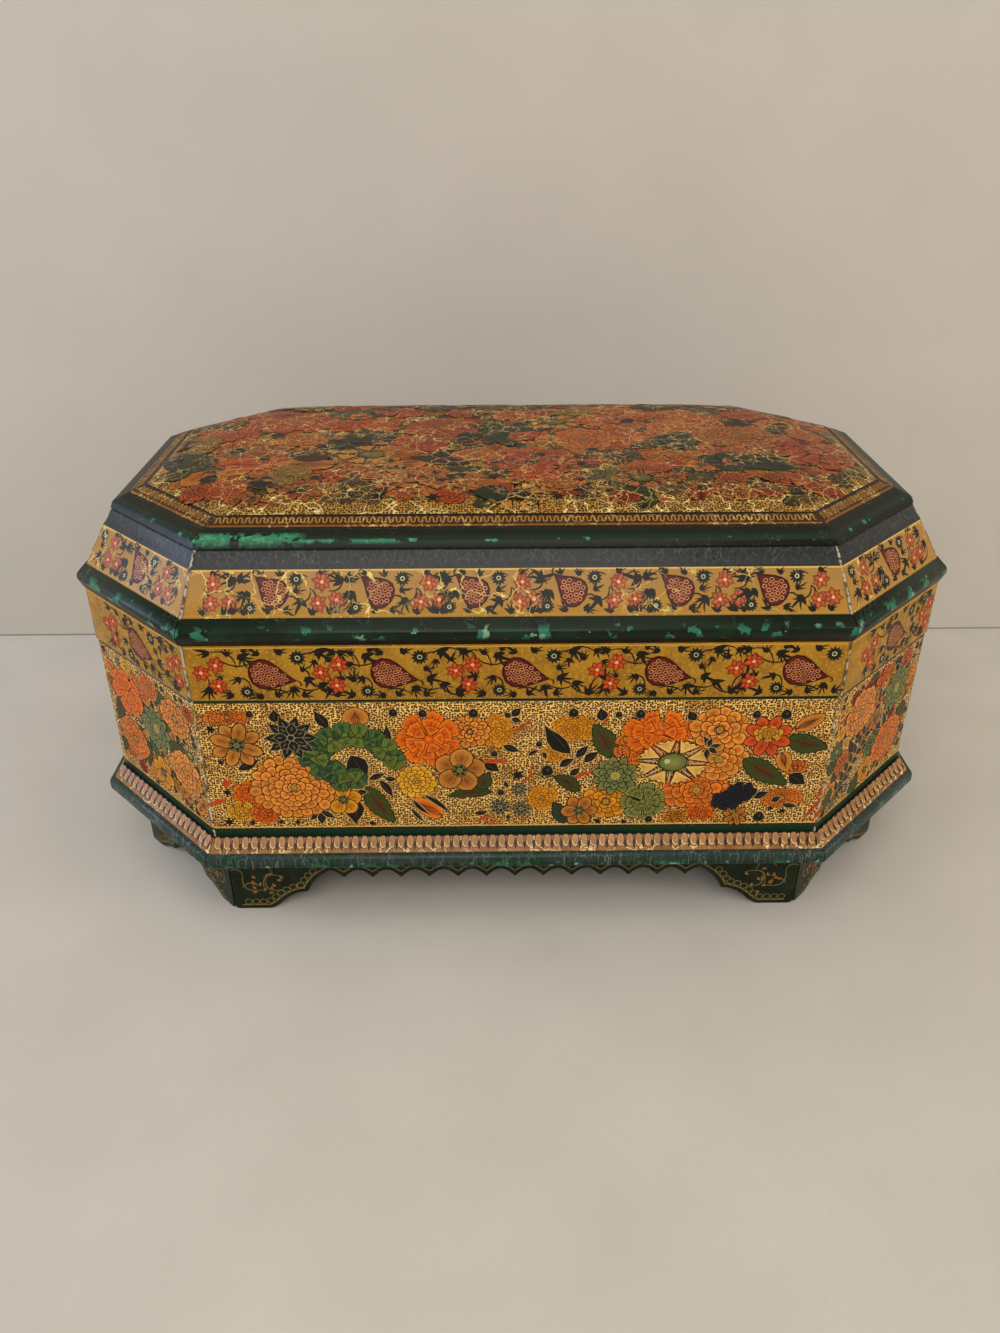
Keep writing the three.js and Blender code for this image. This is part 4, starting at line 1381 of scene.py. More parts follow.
# %% Bouquets
LARGE = (
    lambda f, r, x, y, s: peony(f, r, x, y, s, 0.9 * s, SALMON, max(3.4, 0.42 * s)),
    lambda f, r, x, y, s: peony(f, r, x, y, s, 0.86 * s, CORAL, max(3.4, 0.45 * s)),
    lambda f, r, x, y, s: ruffled(f, r, x, y, 0.9 * s, 0.9 * s, LEAFY),
    lambda f, r, x, y, s: rosette(f, r, x, y, 0.9 * s),
    lambda f, r, x, y, s: poppy(f, r, x, y, s, r.choice((5, 6, 8)), r.choice((BUFF, AMBER))),
    lambda f, r, x, y, s: ruffled(f, r, x, y, s, 0.9 * s, r.choice((ORANGE, CORAL))),
    lambda f, r, x, y, s: wedge_daisy(f, r, x, y, s, 0.85 * s),
    lambda f, r, x, y, s: black_star(f, r, x, y, 0.9 * s),
)
SMALL = (
    lambda f, r, x, y, s: pompon(f, r, x, y, s, 0.9 * s, r.choice((AMBER, YELLOW, CORAL))),
    lambda f, r, x, y, s: ruffled(f, r, x, y, s, 0.9 * s, r.choice((ORANGE, YELLOW, RED))),
    lambda f, r, x, y, s: poppy(f, r, x, y, s, 5, r.choice((AMBER, SALMON))),
    lambda f, r, x, y, s: black_star(f, r, x, y, 0.8 * s, 7),
)


def scatter(rnd, room, box, sizes, placed, close=0.8):
    """Throws discs of these radii onto the box and keeps those that find room."""
    kept = []
    for radius, tries in sizes:
        for _ in range(tries):
            x, y = rnd.uniform(box[0], box[1]), rnd.uniform(box[2], box[3])
            r = radius * rnd.uniform(0.85, 1.1)
            if room(x, y, r) and all(math.hypot(x - a, y - b) > close * (r + c) for a, b, c in placed):
                placed.append((x, y, r))
                kept.append((x, y, r))
    return kept


def bouquet(film, rnd, room, box, sizes=((10, 50), (8, 90), (6, 120), (4.4, 160), (3.2, 120)), taken=()):
    placed = list(taken)
    flowers = scatter(rnd, room, box, sizes, placed)
    for x, y, r in scatter(rnd, room, box, ((1.7, 500),), list(placed), 0.9):
        kind = rnd.choice((bud, tuft, tuft, bud))
        kind(film, rnd, x, y, r)
    for x, y, r in [*flowers, *taken]:
        start = rnd.uniform(0, 6.3)
        for k in range(3 if r > 4.5 else 2):
            angle = start + 2.1 * k + rnd.uniform(-0.4, 0.4)
            far = r + (rnd.uniform(4, 8) if r > 4.5 else rnd.uniform(2.5, 4))
            ends = (*polar(x, y, 0.6 * r, angle), *polar(x, y, far, angle))
            if not room(ends[2], ends[3], 0.5):
                continue
            choice = rnd.random()
            if choice < 0.34 and r > 4.5:
                toothed_leaf(film, rnd, *ends, rnd.uniform(6, 8.5), rnd.choice((BROWN_LEAF, GREEN)))
            elif choice < 0.7:
                dark_leaf(film, rnd, *ends, rnd.uniform(2.4, 4.2))
            elif choice < 0.84:
                red_stroke(film, rnd, *ends, rnd.uniform(1.2, 2.4))
            else:
                half_closed(film, rnd, *ends, rnd.uniform(4, 6), rnd.choice((BUFF, CORAL, SALMON)))
    for x, y, r in sorted(flowers, key=lambda spot: spot[2]):
        rnd.choice(LARGE if r > 4.4 else SMALL)(film, rnd, x, y, 1.08 * r)


PANEL_LOW, PANEL_HIGH = 45.6, 100.2


def panel_room(face):
    half = FACES[face]["half"]
    return lambda x, y, r: (
        abs(x) + 0.8 * r < half - 1.2 and PANEL_LOW < y - 0.8 * r and y + 0.8 * r < PANEL_HIGH)


print("habits:", len(LARGE), "large,", len(SMALL), "small")

# %% [markdown]
# ### Flowers of the front panel and the crown's near side
# Each row names a kind of motif, followed by every motif of that kind: its place and size in millimetres,
# and its tones where they differ from the usual ones. The order is the order of painting.

# %% Painting from a table
def paint_rows(film, rnd, rows):
    for kind, *motifs in rows:
        for motif in motifs:
            kind(film, rnd, *motif)


# %% Front panel
FRONT_FLOWERS = (
    (pompon, (-104, 95, 9.1, 2.8, CORAL)),
    (red_stroke, (-57, 56, -48, 47, 3.6, CORAL), (-116, 56, -108, 59, 3.1, RED),
     (-107.1, 68.3, -108.6, 63.1, 2.6)),
    (pompon, (21, 89, 8.7, 5.7), (14, 78, 5.4, 4.2), (101, 57, 8.6, 4.3, CORAL)),
    (peony, (104, 71, 4.7, 3.5, CORAL, 2.6)), (toothed_leaf, (-56, 64, -46, 47, 8.5)),
    (dark_leaf, (-61, 78, -55, 67, 7.7), (-60, 58, -61, 46, 6.7), (-74, 53, -79, 48, 2.5),
     (-74, 52, -74, 46, 3.2), (-74, 53, -68, 49, 2.5)),
    (tuft, (-109.2, 47.9, 1.9), (-100.3, 47.5, 1.5), (-89.6, 47.7, 1.3), (-83.1, 47.6, 1.3),
     (-54.7, 46.6, 1.2), (-110.7, 89.9, 1.7), (-108.8, 75.4, 1.4), (-108.2, 61.8, 1.7), (-97.3, 57, 2.6)),
    (bud, (-95.8, 96.3, 1.5), (-44.4, 96.4, 1.7)),
    (dark_leaf, (-87.2, 92.5, -87, 98.4, 4.4), (-68, 90, -73, 98, 4.1), (-47, 82, -47, 92, 3.1),
     (-103, 72, -94, 77, 3.6), (-55, 67, -48, 70, 2.6), (-49.1, 67.7, -43.9, 67.6, 2.4),
     (-60, 60.9, -55.1, 61.5, 2.5), (-51, 67, -46, 58, 3.1)), (half_closed, (-58, 91, -58, 99, 10.2)),
    (poppy, (-102, 83, 10.2, 8)),
    (ruffled, (-100, 61, 6.5, 6), (-104, 53, 6, 5.1, YELLOW), (-95, 52, 5.9, 5.1)),
    (poppy, (-65, 58, 7.3, 5, AMBER)), (peony, (-83, 64, 16.6, 14.4)),
    (curled_leaf, (
        ((-45, 76), (-52, 84), (-60, 87), (-69, 84), (-74, 77), (-73, 73), (-68, 73), (-66, 67), (-60, 68)),
        6.4)),
    (black_star, (-82, 86, 10.2)), (toothed_leaf, (-9, 61, -26, 59, 5), (-14, 62, -10, 70, 6.3)),
    (pompon, (-7, 88, 6.5, 7.3)),
    (peony, (-17, 88, 7.9, 7.3, SALMON, 3.4), (-37, 66, 7.7, 7.9, YELLOW, 3.2)),
    (ruffled, (-32, 85, 12, 12.3)), (poppy, (-21, 71, 10.1, 5)),
    (half_closed, (-28, 50, -39, 58, 7.9, CORAL)),
    (dark_leaf, (-39, 58, -32, 50, 2), (-35, 60, -24, 50, 2.2), (-40, 54, -34, 46, 1.8),
     (-12, 74, -6, 70, 4.2), (-5, 82, 2, 79, 3)),
    (bud, (-8.1, 78.3, 1.4), (-33.8, 96, 1.7), (-15.6, 95.9, 1.9)),
    (dark_leaf, (-1.9, 93.9, -4.7, 96.5, 2.4), (-1.9, 94.4, 1.8, 98.3, 3.1), (-2, 93.4, 2.2, 92, 2.4),
     (-16, 51, -10, 52, 2.3)), (tuft, (0.6, 68.4, 2.3)), (dark_leaf, (-3, 62.7, -4.3, 66.6, 1.9)),
    (black_star, (1, 62, 3.9), (-6, 54, 4.6), (2, 53, 4.3)), (bud, (-5.7, 60.7, 1.4), (-2.9, 49.1, 1)),
    (red_stroke, (-1.9, 88.1, 3.7, 90.2, 1.3), (2.3, 89.6, 5.9, 93.9, 1.2), (-13, 75, -2, 75, 1.5),
     (5.3, 69, 6.1, 74.3, 1.2), (2.5, 65.2, 6.5, 69.4, 1.3), (20, 67, 29, 70, 1.7), (-16, 47, -9, 50, 1.8),
     (-10.3, 45.3, -6.5, 48.9, 1.6), (31, 90, 34, 97, 1.5)),
    (dark_leaf, (22, 76, 27, 82, 3.2), (25, 74, 31, 79, 3.5), (16, 72, 22, 76, 3.2), (20, 68, 24, 72, 2.9),
     (20, 78, 10, 91, 5.9)), (bud, (8.3, 82.4, 1.3)),
    (dark_leaf, (4.2, 77.1, 9, 79.9, 1.9), (9.7, 79.1, 10.9, 75.1, 1.9)), (bud, (11.5, 70.4, 2.4)),
    (pompon, (10, 58, 6.2, 6.3)),
    (toothed_leaf, (36, 76, 28, 91, 9.2), (24, 61, 14, 68, 6.5), (19, 46, 14, 56, 6.8, FERN)),
    (peony, (34, 56, 10.6, 7.7, AMBER, 4.6)), (poppy, (24, 52, 7.3, 6)),
    (ruffled, (42, 80, 6.4, 8.3, CORAL)), (rosette, (37, 68, 9.1)), (bud, (20.5, 95.7, 1.9)),
    (dark_leaf, (31, 92, 30, 98, 4.1)), (bud, (36.9, 94.8, 1.4), (44, 95, 1.6)),
    (tuft, (31.4, 46.7, 1.3), (41.3, 46.4, 1.3)), (ruffled, (44, 87, 6.2, 5.6, AMBER), (52, 87, 13.8, 9.4)),
    (peony, (68, 61, 13.9, 8.9, CORAL, 5.4), (75, 75, 11.2, 10.1, SALMON, 5.0),
     (74, 88, 11.5, 9.8, SALMON, 5.0)),
    (ruffled, (48, 56, 8.8, 8.8, LEAFY), (70, 50, 6.6, 3.5), (61, 49, 5.3, 3.2, AMBER)),
    (poppy, (84, 49, 5.2, 9, BUFF, False)), (wedge_daisy, (58, 74, 13.3, 10)),
    (dark_leaf, (71, 80, 68, 86, 2.3), (70.7, 80.4, 71.9, 85.1, 2.1), (70.7, 80.4, 76, 81.8, 2.1),
     (70.7, 80.4, 70.7, 74.4, 2.3), (70.7, 80.4, 74.5, 77.4, 2.3)),
    (toothed_leaf, (99, 84, 115, 80, 8.8), (84, 75, 102, 63, 9.3)), (poppy, (92, 85, 9.4, 8, RED)),
    (ruffled, (92, 86, 5.7, 3.6, YELLOW)), (half_closed, (102, 88, 112, 94, 6.3), (98, 78, 101, 69, 6.3)),
    (dark_leaf, (102, 68, 109, 63, 5.5)), (ruffled, (80, 56, 6.4, 4.7, NAVY), (85, 60, 5.9, 4.7, NAVY)),
    (dark_leaf, (90, 57, 96, 60, 3.1), (96.7, 55.4, 100.7, 58.1, 2.6), (101, 54, 108, 53, 2.4)),
    (tuft, (97.1, 52.2, 1.3), (101.6, 50.8, 1.3)), (bud, (44.7, 95.1, 1.9)),
    (dark_leaf, (64.9, 92.1, 61.9, 96.7, 3.6)),
    (bud, (86.8, 94.4, 1.7), (97.5, 94.3, 2.1), (50.8, 47.7, 1.6), (93, 48.2, 2.3)),
    (red_stroke, (110, 46, 116, 57, 1.4), (114, 56, 116, 63, 1.2), (114, 46, 118, 54, 1.2),
     (102, 72, 108, 74, 1.5)),
)
print("front:", sum(len(row) - 1 for row in FRONT_FLOWERS), "motifs")

# %% Near side of the crown
def fan(x, y, width, tips):
    """Fern leaves that spread from one place."""
    return [(x, y, *tip, width, FERN) for tip in tips]


CROWN_FLOWERS = (
    (toothed_leaf, (-113, -32, -139, -9, 16.9, GREEN), (-120, -18, -125, -37, 15.6, GREEN),
     (-122, -30, -133, -35, 14.3, GREEN)),
    (peony, (-117, 8, 13.9, 14.4, CORAL, 4.4), (-124, -2, 6.5, 11.8, STRAW, 4.0),
     (-101, -11, 13, 12.4, BUFF, 5), (-93, 27, 20.5, 16, SCARLET, 7.5), (-107, 43, 10.7, 8.1, SCARLET, 6)),
    (ruffled, (-87, 1, 13.2, 10.4, AMBER)),
    (half_closed, (-90, -28, -114, -28, 15, ORANGE), (-68, -30, -92, -29, 13, RUST)),
    (ruffled, (-106, -52, 9.5, 7.9, CORAL), (-116, -51, 6, 6.8, CORAL), (-97, -60, 6.9, 5, RUST)),
    (pompon, (-83, -39, 8.5, 8.4, STRAW), (-86, -48, 5.5, 5.1, STRAW)), (tuft, (-69, -6, 7.3)),
    (dark_leaf, (-67, -1, -80, -15, 9.1), (-62, -10, -74, -6, 7.8), (-74, 2, -65, -7, 9.1)),
    (toothed_leaf, (-71, -23, -89, -16, 14.3, UMBER)),
    (dark_leaf, (-93, -53, -90, -45, 10.4), (-84, -53, -90, -51, 7.8), (-109, -39, -119, -45, 6.5)),
    (bud, (-73.4, -43.6, 2.1), (-77.8, -55, 2.2), (-110.4, -59.2, 1.8), (-95.8, -22.1, 2.5), (-96, 8, 3.2)),
    (tuft, (-80.6, -56.4, 1.5)),
    (black_star, (-58, -47, 7.1), (-60, -60, 5.8), (-51, -61, 4.6), (-66, -61, 3.8)),
    (pompon, (-64, -30, 3.3, 3.7, CORAL)), (bud, (-93.3, -60.2, 1.4)),
    (dark_leaf, (-132, 26, -117, 27, 9.1), (-134, -3, -132, 12, 7.8), (-113, -10, -105, -17, 9.1),
     (-113, 20, -126, 20, 9.1)), (toothed_leaf, (-70, 2, -55, 5, 13, FERN)),
    (poppy, (-65, 36, 5.7, 5, CORAL)),
    (peony, (-52, 6, 11.6, 13.2, FERN, 5), (-28, 18, 17.3, 14.3, SCARLET, 7)),
    (ruffled, (-54, 24, 10.2, 10.8, CORAL)), (pompon, (-33, -7, 7.8, 7.5, RED)),
    (ruffled, (-48, 42, 11.5, 8.3, CORAL), (-20, 40, 8.6, 6.5, CORAL), (1, 37, 11.4, 8.2, SALMON)),
    (pompon, (31, 42, 11.5, 8.3, STRAW)),
    (toothed_leaf, *fan(-3, 11, 10.4, (
        (-18, 23), (-10, 33), (9, 27), (15, 15), (10, -1), (-10, -6), (-20, 0), (0, -9)))),
    (bud, (-20, 1, 3.6)), (dark_leaf, (-16, 33, -6, 41, 10.4), (-11, 8, -25, 1, 11.7)),
    (half_closed, (0, 1, 12, 11, 10.4, RED)), (peony, (29, 0, 12.3, 17, SALMON, 6.5)),
    (toothed_leaf, (29, -29, 17, -20, 11.7, UMBER)), (pompon, (31, -27, 3.7, 4.9, RED)),
    (ruffled, (7, -24, 18.8, 14.9, SCARLET), (16, -48, 10.7, 10.1, AMBER), (8, -42, 10.1, 7.2, ORANGE)),
    (bud, (7.2, -27.2, 2.9), (10.7, -19.4, 2.4)), (toothed_leaf, (-16, -28, -40, -22, 11.7, UMBER)),
    (half_closed, (-47, -34, -33, -28, 11.7, AMBER)),
    (ruffled, (-38, -47, 20.6, 14.9, RUST), (-14, -48, 9.1, 8.4, AMBER), (-23, -60, 6.6, 4.7, ORANGE)),
    (pompon, (-40, -60, 3.9, 2.8, CORAL)), (toothed_leaf, (-6, -36, -10, -46, 7.8, BROWN_LEAF)),
    (ruffled, (-5, -54, 4.8, 7.6, ORANGE)), (toothed_leaf, (-2, -60, -15, -57, 11.7, FERN)),
    (poppy, (0, -48, 3.8, 5, YELLOW)),
    (bud, (0, -59.1, 2.1), (3.2, -59.1, 2.1), (5.3, -60.8, 1.9), (2.3, -60.3, 1.9), (-1.2, -60.3, 1.5)),
    (dark_leaf, (-25, -45, -17, -41, 9.1)), (tuft, (-29.2, -60.8, 2.5), (-48.3, -59.5, 3)),
    (dark_leaf, (-44.6, -61.3, -44.3, -60, 5.2), (-35.1, -61.4, -34.5, -60.6, 6.5)),
    (tuft, (22.9, -55.3, 2.3), (15.4, -60.5, 2.3), (24.4, -47, 2)),
    (dark_leaf, (29, -51, 36, -51, 7.8), (-40, -35, -48, -34, 7.8)),
    (red_stroke, (19.8, -56.7, 23.7, -60.9, 1.6)), (tuft, (-29.7, -15.5, 2.6)),
    (pompon, (-14, -19, 10.1, 7.3, SALMON), (-45, -15, 9.4, 6.8, AMBER)), (bud, (31.5, -13.3, 3)),
    (dark_leaf, (45, 26, 54, 30, 9.1)), (ruffled, (39, 26, 11.6, 11.3, CORAL)),
    (pompon, (44, 44, 9, 7.4, SALMON)),
    (toothed_leaf,
     *fan(66, -2, 11.7, ((56, 2), (64, 8), (73, 10), (77, -3), (72, -12), (64, -14), (58, -9), (47, -12))),
     *fan(86, -28, 13, ((70, -25), (75, -33), (79, -39), (91, -38), (100, -34), (106, -36), (104, -24),
                        (95, -21), (82, -17)))), (bud, (82.1, -28.1, 2, RED)),
    (peony, (94, 6, 21.1, 18.6, RUST, 4.8), (85, 27, 9.7, 10.3, CORAL, 4.6)),
    (ruffled, (119, -16, 16.5, 18.8, SCARLET)),
    (dark_leaf, (88, 27, 109, 21, 11.7), (106, 13, 118, 11, 11.7), (111, 22, 120, 17, 9.1)),
    (pompon, (122, 8, 8.4, 9.1, AMBER), (104, 36, 12.1, 8.7, CORAL)), (black_star, (43, -21, 8.8)),
    (ruffled, (59, -20, 9.7, 7, AMBER)), (pompon, (51, -33, 10.2, 7.4, CORAL)),
    (wedge_daisy, (47, -46, 9.8, 9, 8, RUST)),
    (toothed_leaf, (37, -53, 50, -60, 11.7, GREEN), (43, -61, 51, -64, 10.4, GREEN)),
    (ruffled, (39, -61, 5.8, 4.2, RED)), (black_star, (56, -56, 5.4), (63, -54, 3.6)),
    (ruffled, (68, -56, 6.1, 4.8, CORAL), (65, -61, 3.6, 2.6, RED)), (pompon, (64, -61.3, 1.8, 2.7, RED)),
    (ruffled, (80, -58, 8.1, 5.8, RUST), (91, -58, 4.5, 3.2, ORANGE)), (bud, (101.9, -56.7, 3)),
    (black_star, (109, -44, 5.7)),
    (ruffled, (80, -46, 6.6, 4.8, CORAL), (101, -46, 8.4, 6, CORAL), (95, -45, 5, 3.6, AMBER)),
    (pompon, (113, -52, 7.7, 5.5, SCARLET)),
    (dark_leaf, (70, -58, 68, -51, 6.5), (30.5, -51.7, 35.8, -49.4, 7.8)), (tuft, (33.8, -57, 1.7)),
    (red_stroke, (58, -7, 53, -3, 1.3)), (bud, (55, 13.7, 2.8)),
)
print("crown:", sum(len(row) - 1 for row in CROWN_FLOWERS), "motifs")

# %% Left and right cut corners
CUT_BOX = (-34, 34, PANEL_LOW, PANEL_HIGH)
CUT_SIZES = ((5, 90), (3.4, 160))


def front_left_panel(film, rnd):
    """The cut corner at the left: orange flowers about a green rosette, brown-green leaves."""
    room = panel_room("front_left")
    main = (
        (3, 76, 10), (-18, 86, 9), (-16, 64, 9), (20, 88, 9), (21, 64, 10), (2, 56, 7), (2, 94, 6),
        (-25, 74, 4))
    bouquet(film, rnd, room, CUT_BOX, CUT_SIZES, main)
    for leaf in ((-24, 80, -31, 66, 7), (-26, 60, -31, 50, 5), (10, 70, 24, 76, 8), (-6, 66, -10, 52, 6)):
        toothed_leaf(film, rnd, *leaf)
    peony(film, rnd, -18, 62, 11, 10, CORAL, 4.6)
    ruffled(film, rnd, -17, 84, 12, 10.5)
    peony(film, rnd, 20, 88, 10.5, 8.5, SALMON, 4.4)
    peony(film, rnd, 21, 64, 11.5, 10, SALMON, 4.6)
    poppy(film, rnd, 2, 55, 8, 6, AMBER)
    pompon(film, rnd, 2, 94, 7, 5.5, CORAL)
    rosette(film, rnd, 3, 76, 10.5)


def front_right_panel(film, rnd):
    """The cut corner at the right: a rosette, a feather of black leaves, salmon peonies."""
    room = panel_room("front_right")
    main = ((15, 84, 10), (-15, 85, 10), (15, 61, 10), (-12, 62, 9), (0, 94, 5), (1, 52, 6), (27, 72, 4))
    bouquet(film, rnd, room, CUT_BOX, CUT_SIZES, main)
    for k in range(7):
        x, y = -22 + 2.6 * k, 54 + 3.0 * k
        for side in (1, -1):
            dark_leaf(film, rnd, x, y, x + 1.5 - 6.5 * side * 0.7, y + 2.5 + 6.5 * side * 0.6, 3.0)
    toothed_leaf(film, rnd, -28, 58, -31, 48, 6, GREEN)
    toothed_leaf(film, rnd, 22, 72, 31, 66, 7)
    peony(film, rnd, -14, 86, 12, 10.5, SALMON, 4.6)
    peony(film, rnd, 16, 60, 12, 10.5, CORAL, 4.6)
    ruffled(film, rnd, 1, 95, 6, 4.5)
    poppy(film, rnd, 1, 52, 6.5, 5, AMBER)
    rosette(film, rnd, 16, 84, 10.5)


print("corner panels ready")

# %% Paint the eight panels
def plain_panel(face):
    half = FACES[face]["half"]
    return lambda film, rnd: bouquet(film, rnd, panel_room(face), (-half, half, PANEL_LOW, PANEL_HIGH))


COMPOSED = {
    "front": lambda film, rnd: paint_rows(film, rnd, FRONT_FLOWERS),
    "front_left": front_left_panel,
    "front_right": front_right_panel,
}
triangles = 0
for face in FACES:
    film = new_film()
    COMPOSED.get(face, plain_panel(face))(film, random.Random(f"panel {face}"))
    piece = hang(film, f"paint_panel_{face}", upright(0), FACES[face]["place"], "casket", plain_gouache)
    triangles += sum(len(p.vertices) - 2 for p in piece.data.polygons)
print("triangles in the panels:", triangles)

# %% Paint the friezes
LOWER_AT = {"front": (-86.7, -43.9, 2.2, 52.3, 100.9), "back": (-96, -48, 0, 48, 96)}
UPPER_AT = {"front": (-84.1, -47.9, -15.4, 18.2, 54.9, 87.6), "back": (-91, -54.6, -18.2, 18.2, 54.6, 91)}
SLOPE = math.hypot(BEAD_TOP_FACE - FRIEZE_TOP_FACE, COVE_Z - FRIEZE_Z)
SKIRT_MIDDLE, LOWER_PITCH, UPPER_PITCH = 113.2, 46, 36.5
LOWER_BOTEH, UPPER_BOTEH = (17.5, 12.2, -0.3), (13.8, 10.6, 2.35)
RED_TONES = ("#5c1002", "#b42e0c", "#cc6020")
PINK_TONES = ("#6c1c0c", "#a23c20", "#b86c3a")


def inside_skirt(half, low=103.0, high=123.2):
    return lambda u, v: abs(u) < half - 3.2 and low < v < high


def inside_frieze(half):
    return lambda u, v: abs(u) < half - 4 - 0.3 * v and 0.9 < v < SLOPE - 1.2


for face, spec in FACES.items():
    half = spec["half"]
    rnd = random.Random(f"frieze {face}")
    film = new_film(low=102.5, high=123.1)
    places = LOWER_AT.get(face, (-24, 23) if half > 40 else (3,))
    for x in (*places, places[-1] + LOWER_PITCH):
        paint_unit(film, rnd, LOWER_UNIT, x, SKIRT_MIDDLE, inside_skirt(half), LOWER_BOTEH, RED_TONES)
    piece = hang(film, f"paint_skirt_{face}", upright(LID_FACE), spec["place"], "lid", plain_gouache)
    film = new_film(low=0.5, high=SLOPE - 0.6)
    places = UPPER_AT.get(face, (-17, 19) if half > 40 else (1,))
    for x in (places[0] - UPPER_PITCH, *places):
        paint_unit(film, rnd, UPPER_UNIT, x, 0.5 * SLOPE, inside_frieze(half), UPPER_BOTEH, PINK_TONES)
    piece = hang(film, f"paint_frieze_{face}", sloping((BEAD_TOP_FACE, FRIEZE_Z), (FRIEZE_TOP_FACE, COVE_Z)),
                 spec["place"], "lid", frieze_gouache)
print("friezes painted")

# %% [markdown]
# ### Gold borders
# The crown's border is a gold wave that leans over, on brown, and the plinth's band a row of copper
# tongues, each with a gold line in it. Both are fitted to each face, so that they end clean at the mitres.

# %% Borders
WAVE_PITCH, WAVE_SWING = 2.54, 1.35
TONGUE_PITCH = 3.44


def row_of(half, pitch, margin):
    """Places of a row, evenly spaced between the mitres."""
    count = round(2 * (half - margin) / pitch)
    return np.linspace(-half + margin, half - margin, count)


def rope(half, pitch, middle, swing):
    """A wave that leans over, with a whole number of turns between the mitres."""
    count = round(2 * half / pitch)
    turns = np.linspace(0, count, 8 * count + 1)
    return np.column_stack((-half + 2 * half * turns / count + 0.1 * pitch * np.sin(4 * np.pi * turns),
                            middle - swing * np.cos(2 * np.pi * turns)))


for face, spec in FACES.items():
    rnd = random.Random(f"border {face}")
    film = new_film()
    low, high = -(BORDER_FACE) + 0.5, -(FIELD_FACE) - 0.7
    half = spec["half"] - low * MITRE
    wave = rope(half - 2.6, WAVE_PITCH, 0.5 * (high - low) + 0.7, WAVE_SWING)
    ribbon(film, wave, 0.8, shade("#6c4a1c"), shade("#f0cc74"), False)
    line = [(x, 0.3) for x in np.linspace(-half + 1, half - 1, 40)]
    ribbon(film, line, 1.1, shade("#7c5a24"), shade("#b88e48"), False)
    hang(film, f"paint_border_{face}",
         sloping((-low, BORDER_Z + (low + BORDER_FACE) * (FIELD_Z - BORDER_Z) / (BORDER_FACE - FIELD_FACE)),
                 (-high, FIELD_Z)),
         spec["place"], "lid", crown_gouache)
    film = new_film(0.05)
    half = spec["half"] + 0.8
    for x in row_of(half, TONGUE_PITCH, 2.4):
        factor = rnd.uniform(0.85, 1.1)
        flake(film, stroke(POINTED, (x + 1.6, 1.0), (x + 1.7, 4.6), 1.0), *(shade("#40200f"),) * 3)
        flake(film, stroke(EGG, (x, 6.6), (x - 0.2, 1.4), 3.1), shade("#4a2812"), shade("#b08252", factor),
              shade("#a07044", factor), 0.3)
        ribbon(film, [(x - 1.1, 4.0), (x - 1.0, 2.8), (x - 0.2, 1.9), (x + 0.8, 2.5)],
               0.42, shade("#ecc684", factor))
    hang(film, f"paint_plinth_{face}", sloping((PLINTH_STEP_REACH, PLINTH_STEP_Z), (0.8, PLINTH_TOP)),
         spec["place"], "casket", plain_gouache)
print("borders painted")

# %% [markdown]
# ### Flowers of the crown
# The crown's near side follows the casket's flowers, larger than those on the walls. The far side, which
# the photograph hardly shows, is composed by the same habits. The strokes follow the cushion's height.

# %% Paint the crown
def from_field(x, y):
    """How far inside the field's edge a point lies, in mm."""
    return float(inside_by(x, y).min()) + FIELD_FACE


def steeper(x, y):
    """More room between strokes where the cushion bends most, at its edge."""
    return 0.007 * math.exp(-from_field(x, y) / CUSHION_SHOULDER)


for part, (low, high) in {"left": (-140, -50), "middle": (-50, 45), "right": (45, 140)}.items():
    rnd = random.Random(f"crown {part}")
    film = new_film(0.05, bend=steeper)
    rows = [(kind, motif) for kind, *motifs in CROWN_FLOWERS for motif in motifs if low <= motif[0] < high]
    leaves = (toothed_leaf, dark_leaf, half_closed, red_stroke)
    taken = [(x, y, 0.85 * r) for kind, (x, y, r, *_) in rows if kind not in leaves and r > 5]
    bouquet(film, rnd, lambda x, y, r: from_field(x, y) > 0.6 + 0.7 * (r + 1) and low - 3 < x < high + 3,
            (low, high, -60, 70), ((13, 50), (10, 90), (7.5, 140), (5.4, 200), (3.8, 200)), taken)
    paint_rows(film, rnd, rows)
    piece = hang(film, f"paint_crown_{part}", on_crown, Matrix(), "lid", crown_gouache)
    print(piece.name, sum(len(p.vertices) - 2 for p in piece.data.polygons), "triangles")

# %% [markdown]
# ### Gold lines on the feet
# Each foot and each point of the apron is edged with a thin gold line, drawn about two millimetres inside
# the sawn outline. So the board's own outline is read from its outer face and drawn in. On the feet,
# circles follow the line and a small scroll of stems and leaves fills the middle.

# %% Gold lines
LINE_IN, SCALES_IN, CIRCLES_IN = 2.2, 2.6, 3.8
SCROLL = (
    (-8, 4, 0, -3, 0.4), (0, -3, 8, 5, -0.4), (-4, 5, 4, 7, 0.5), (2, -1, 9, -2, 0.3), (-7, -3, -1, 3, -0.4),
    (8, 5, 13, 7, 0.3))


def drawn_in(outline, depth):
    """A closed outline moved inwards, with the places that fold over left out."""
    moved = moved_in(outline, depth)
    away = np.linalg.norm(moved[:, None, :] - outline[None, :, :], axis=2).min(axis=1)
    return moved[away > 0.8 * depth]


def spaced(path, step):
    run = float(np.linalg.norm(np.diff(path, axis=0), axis=1).sum())
    return resampled(path, max(2, round(run / step)))


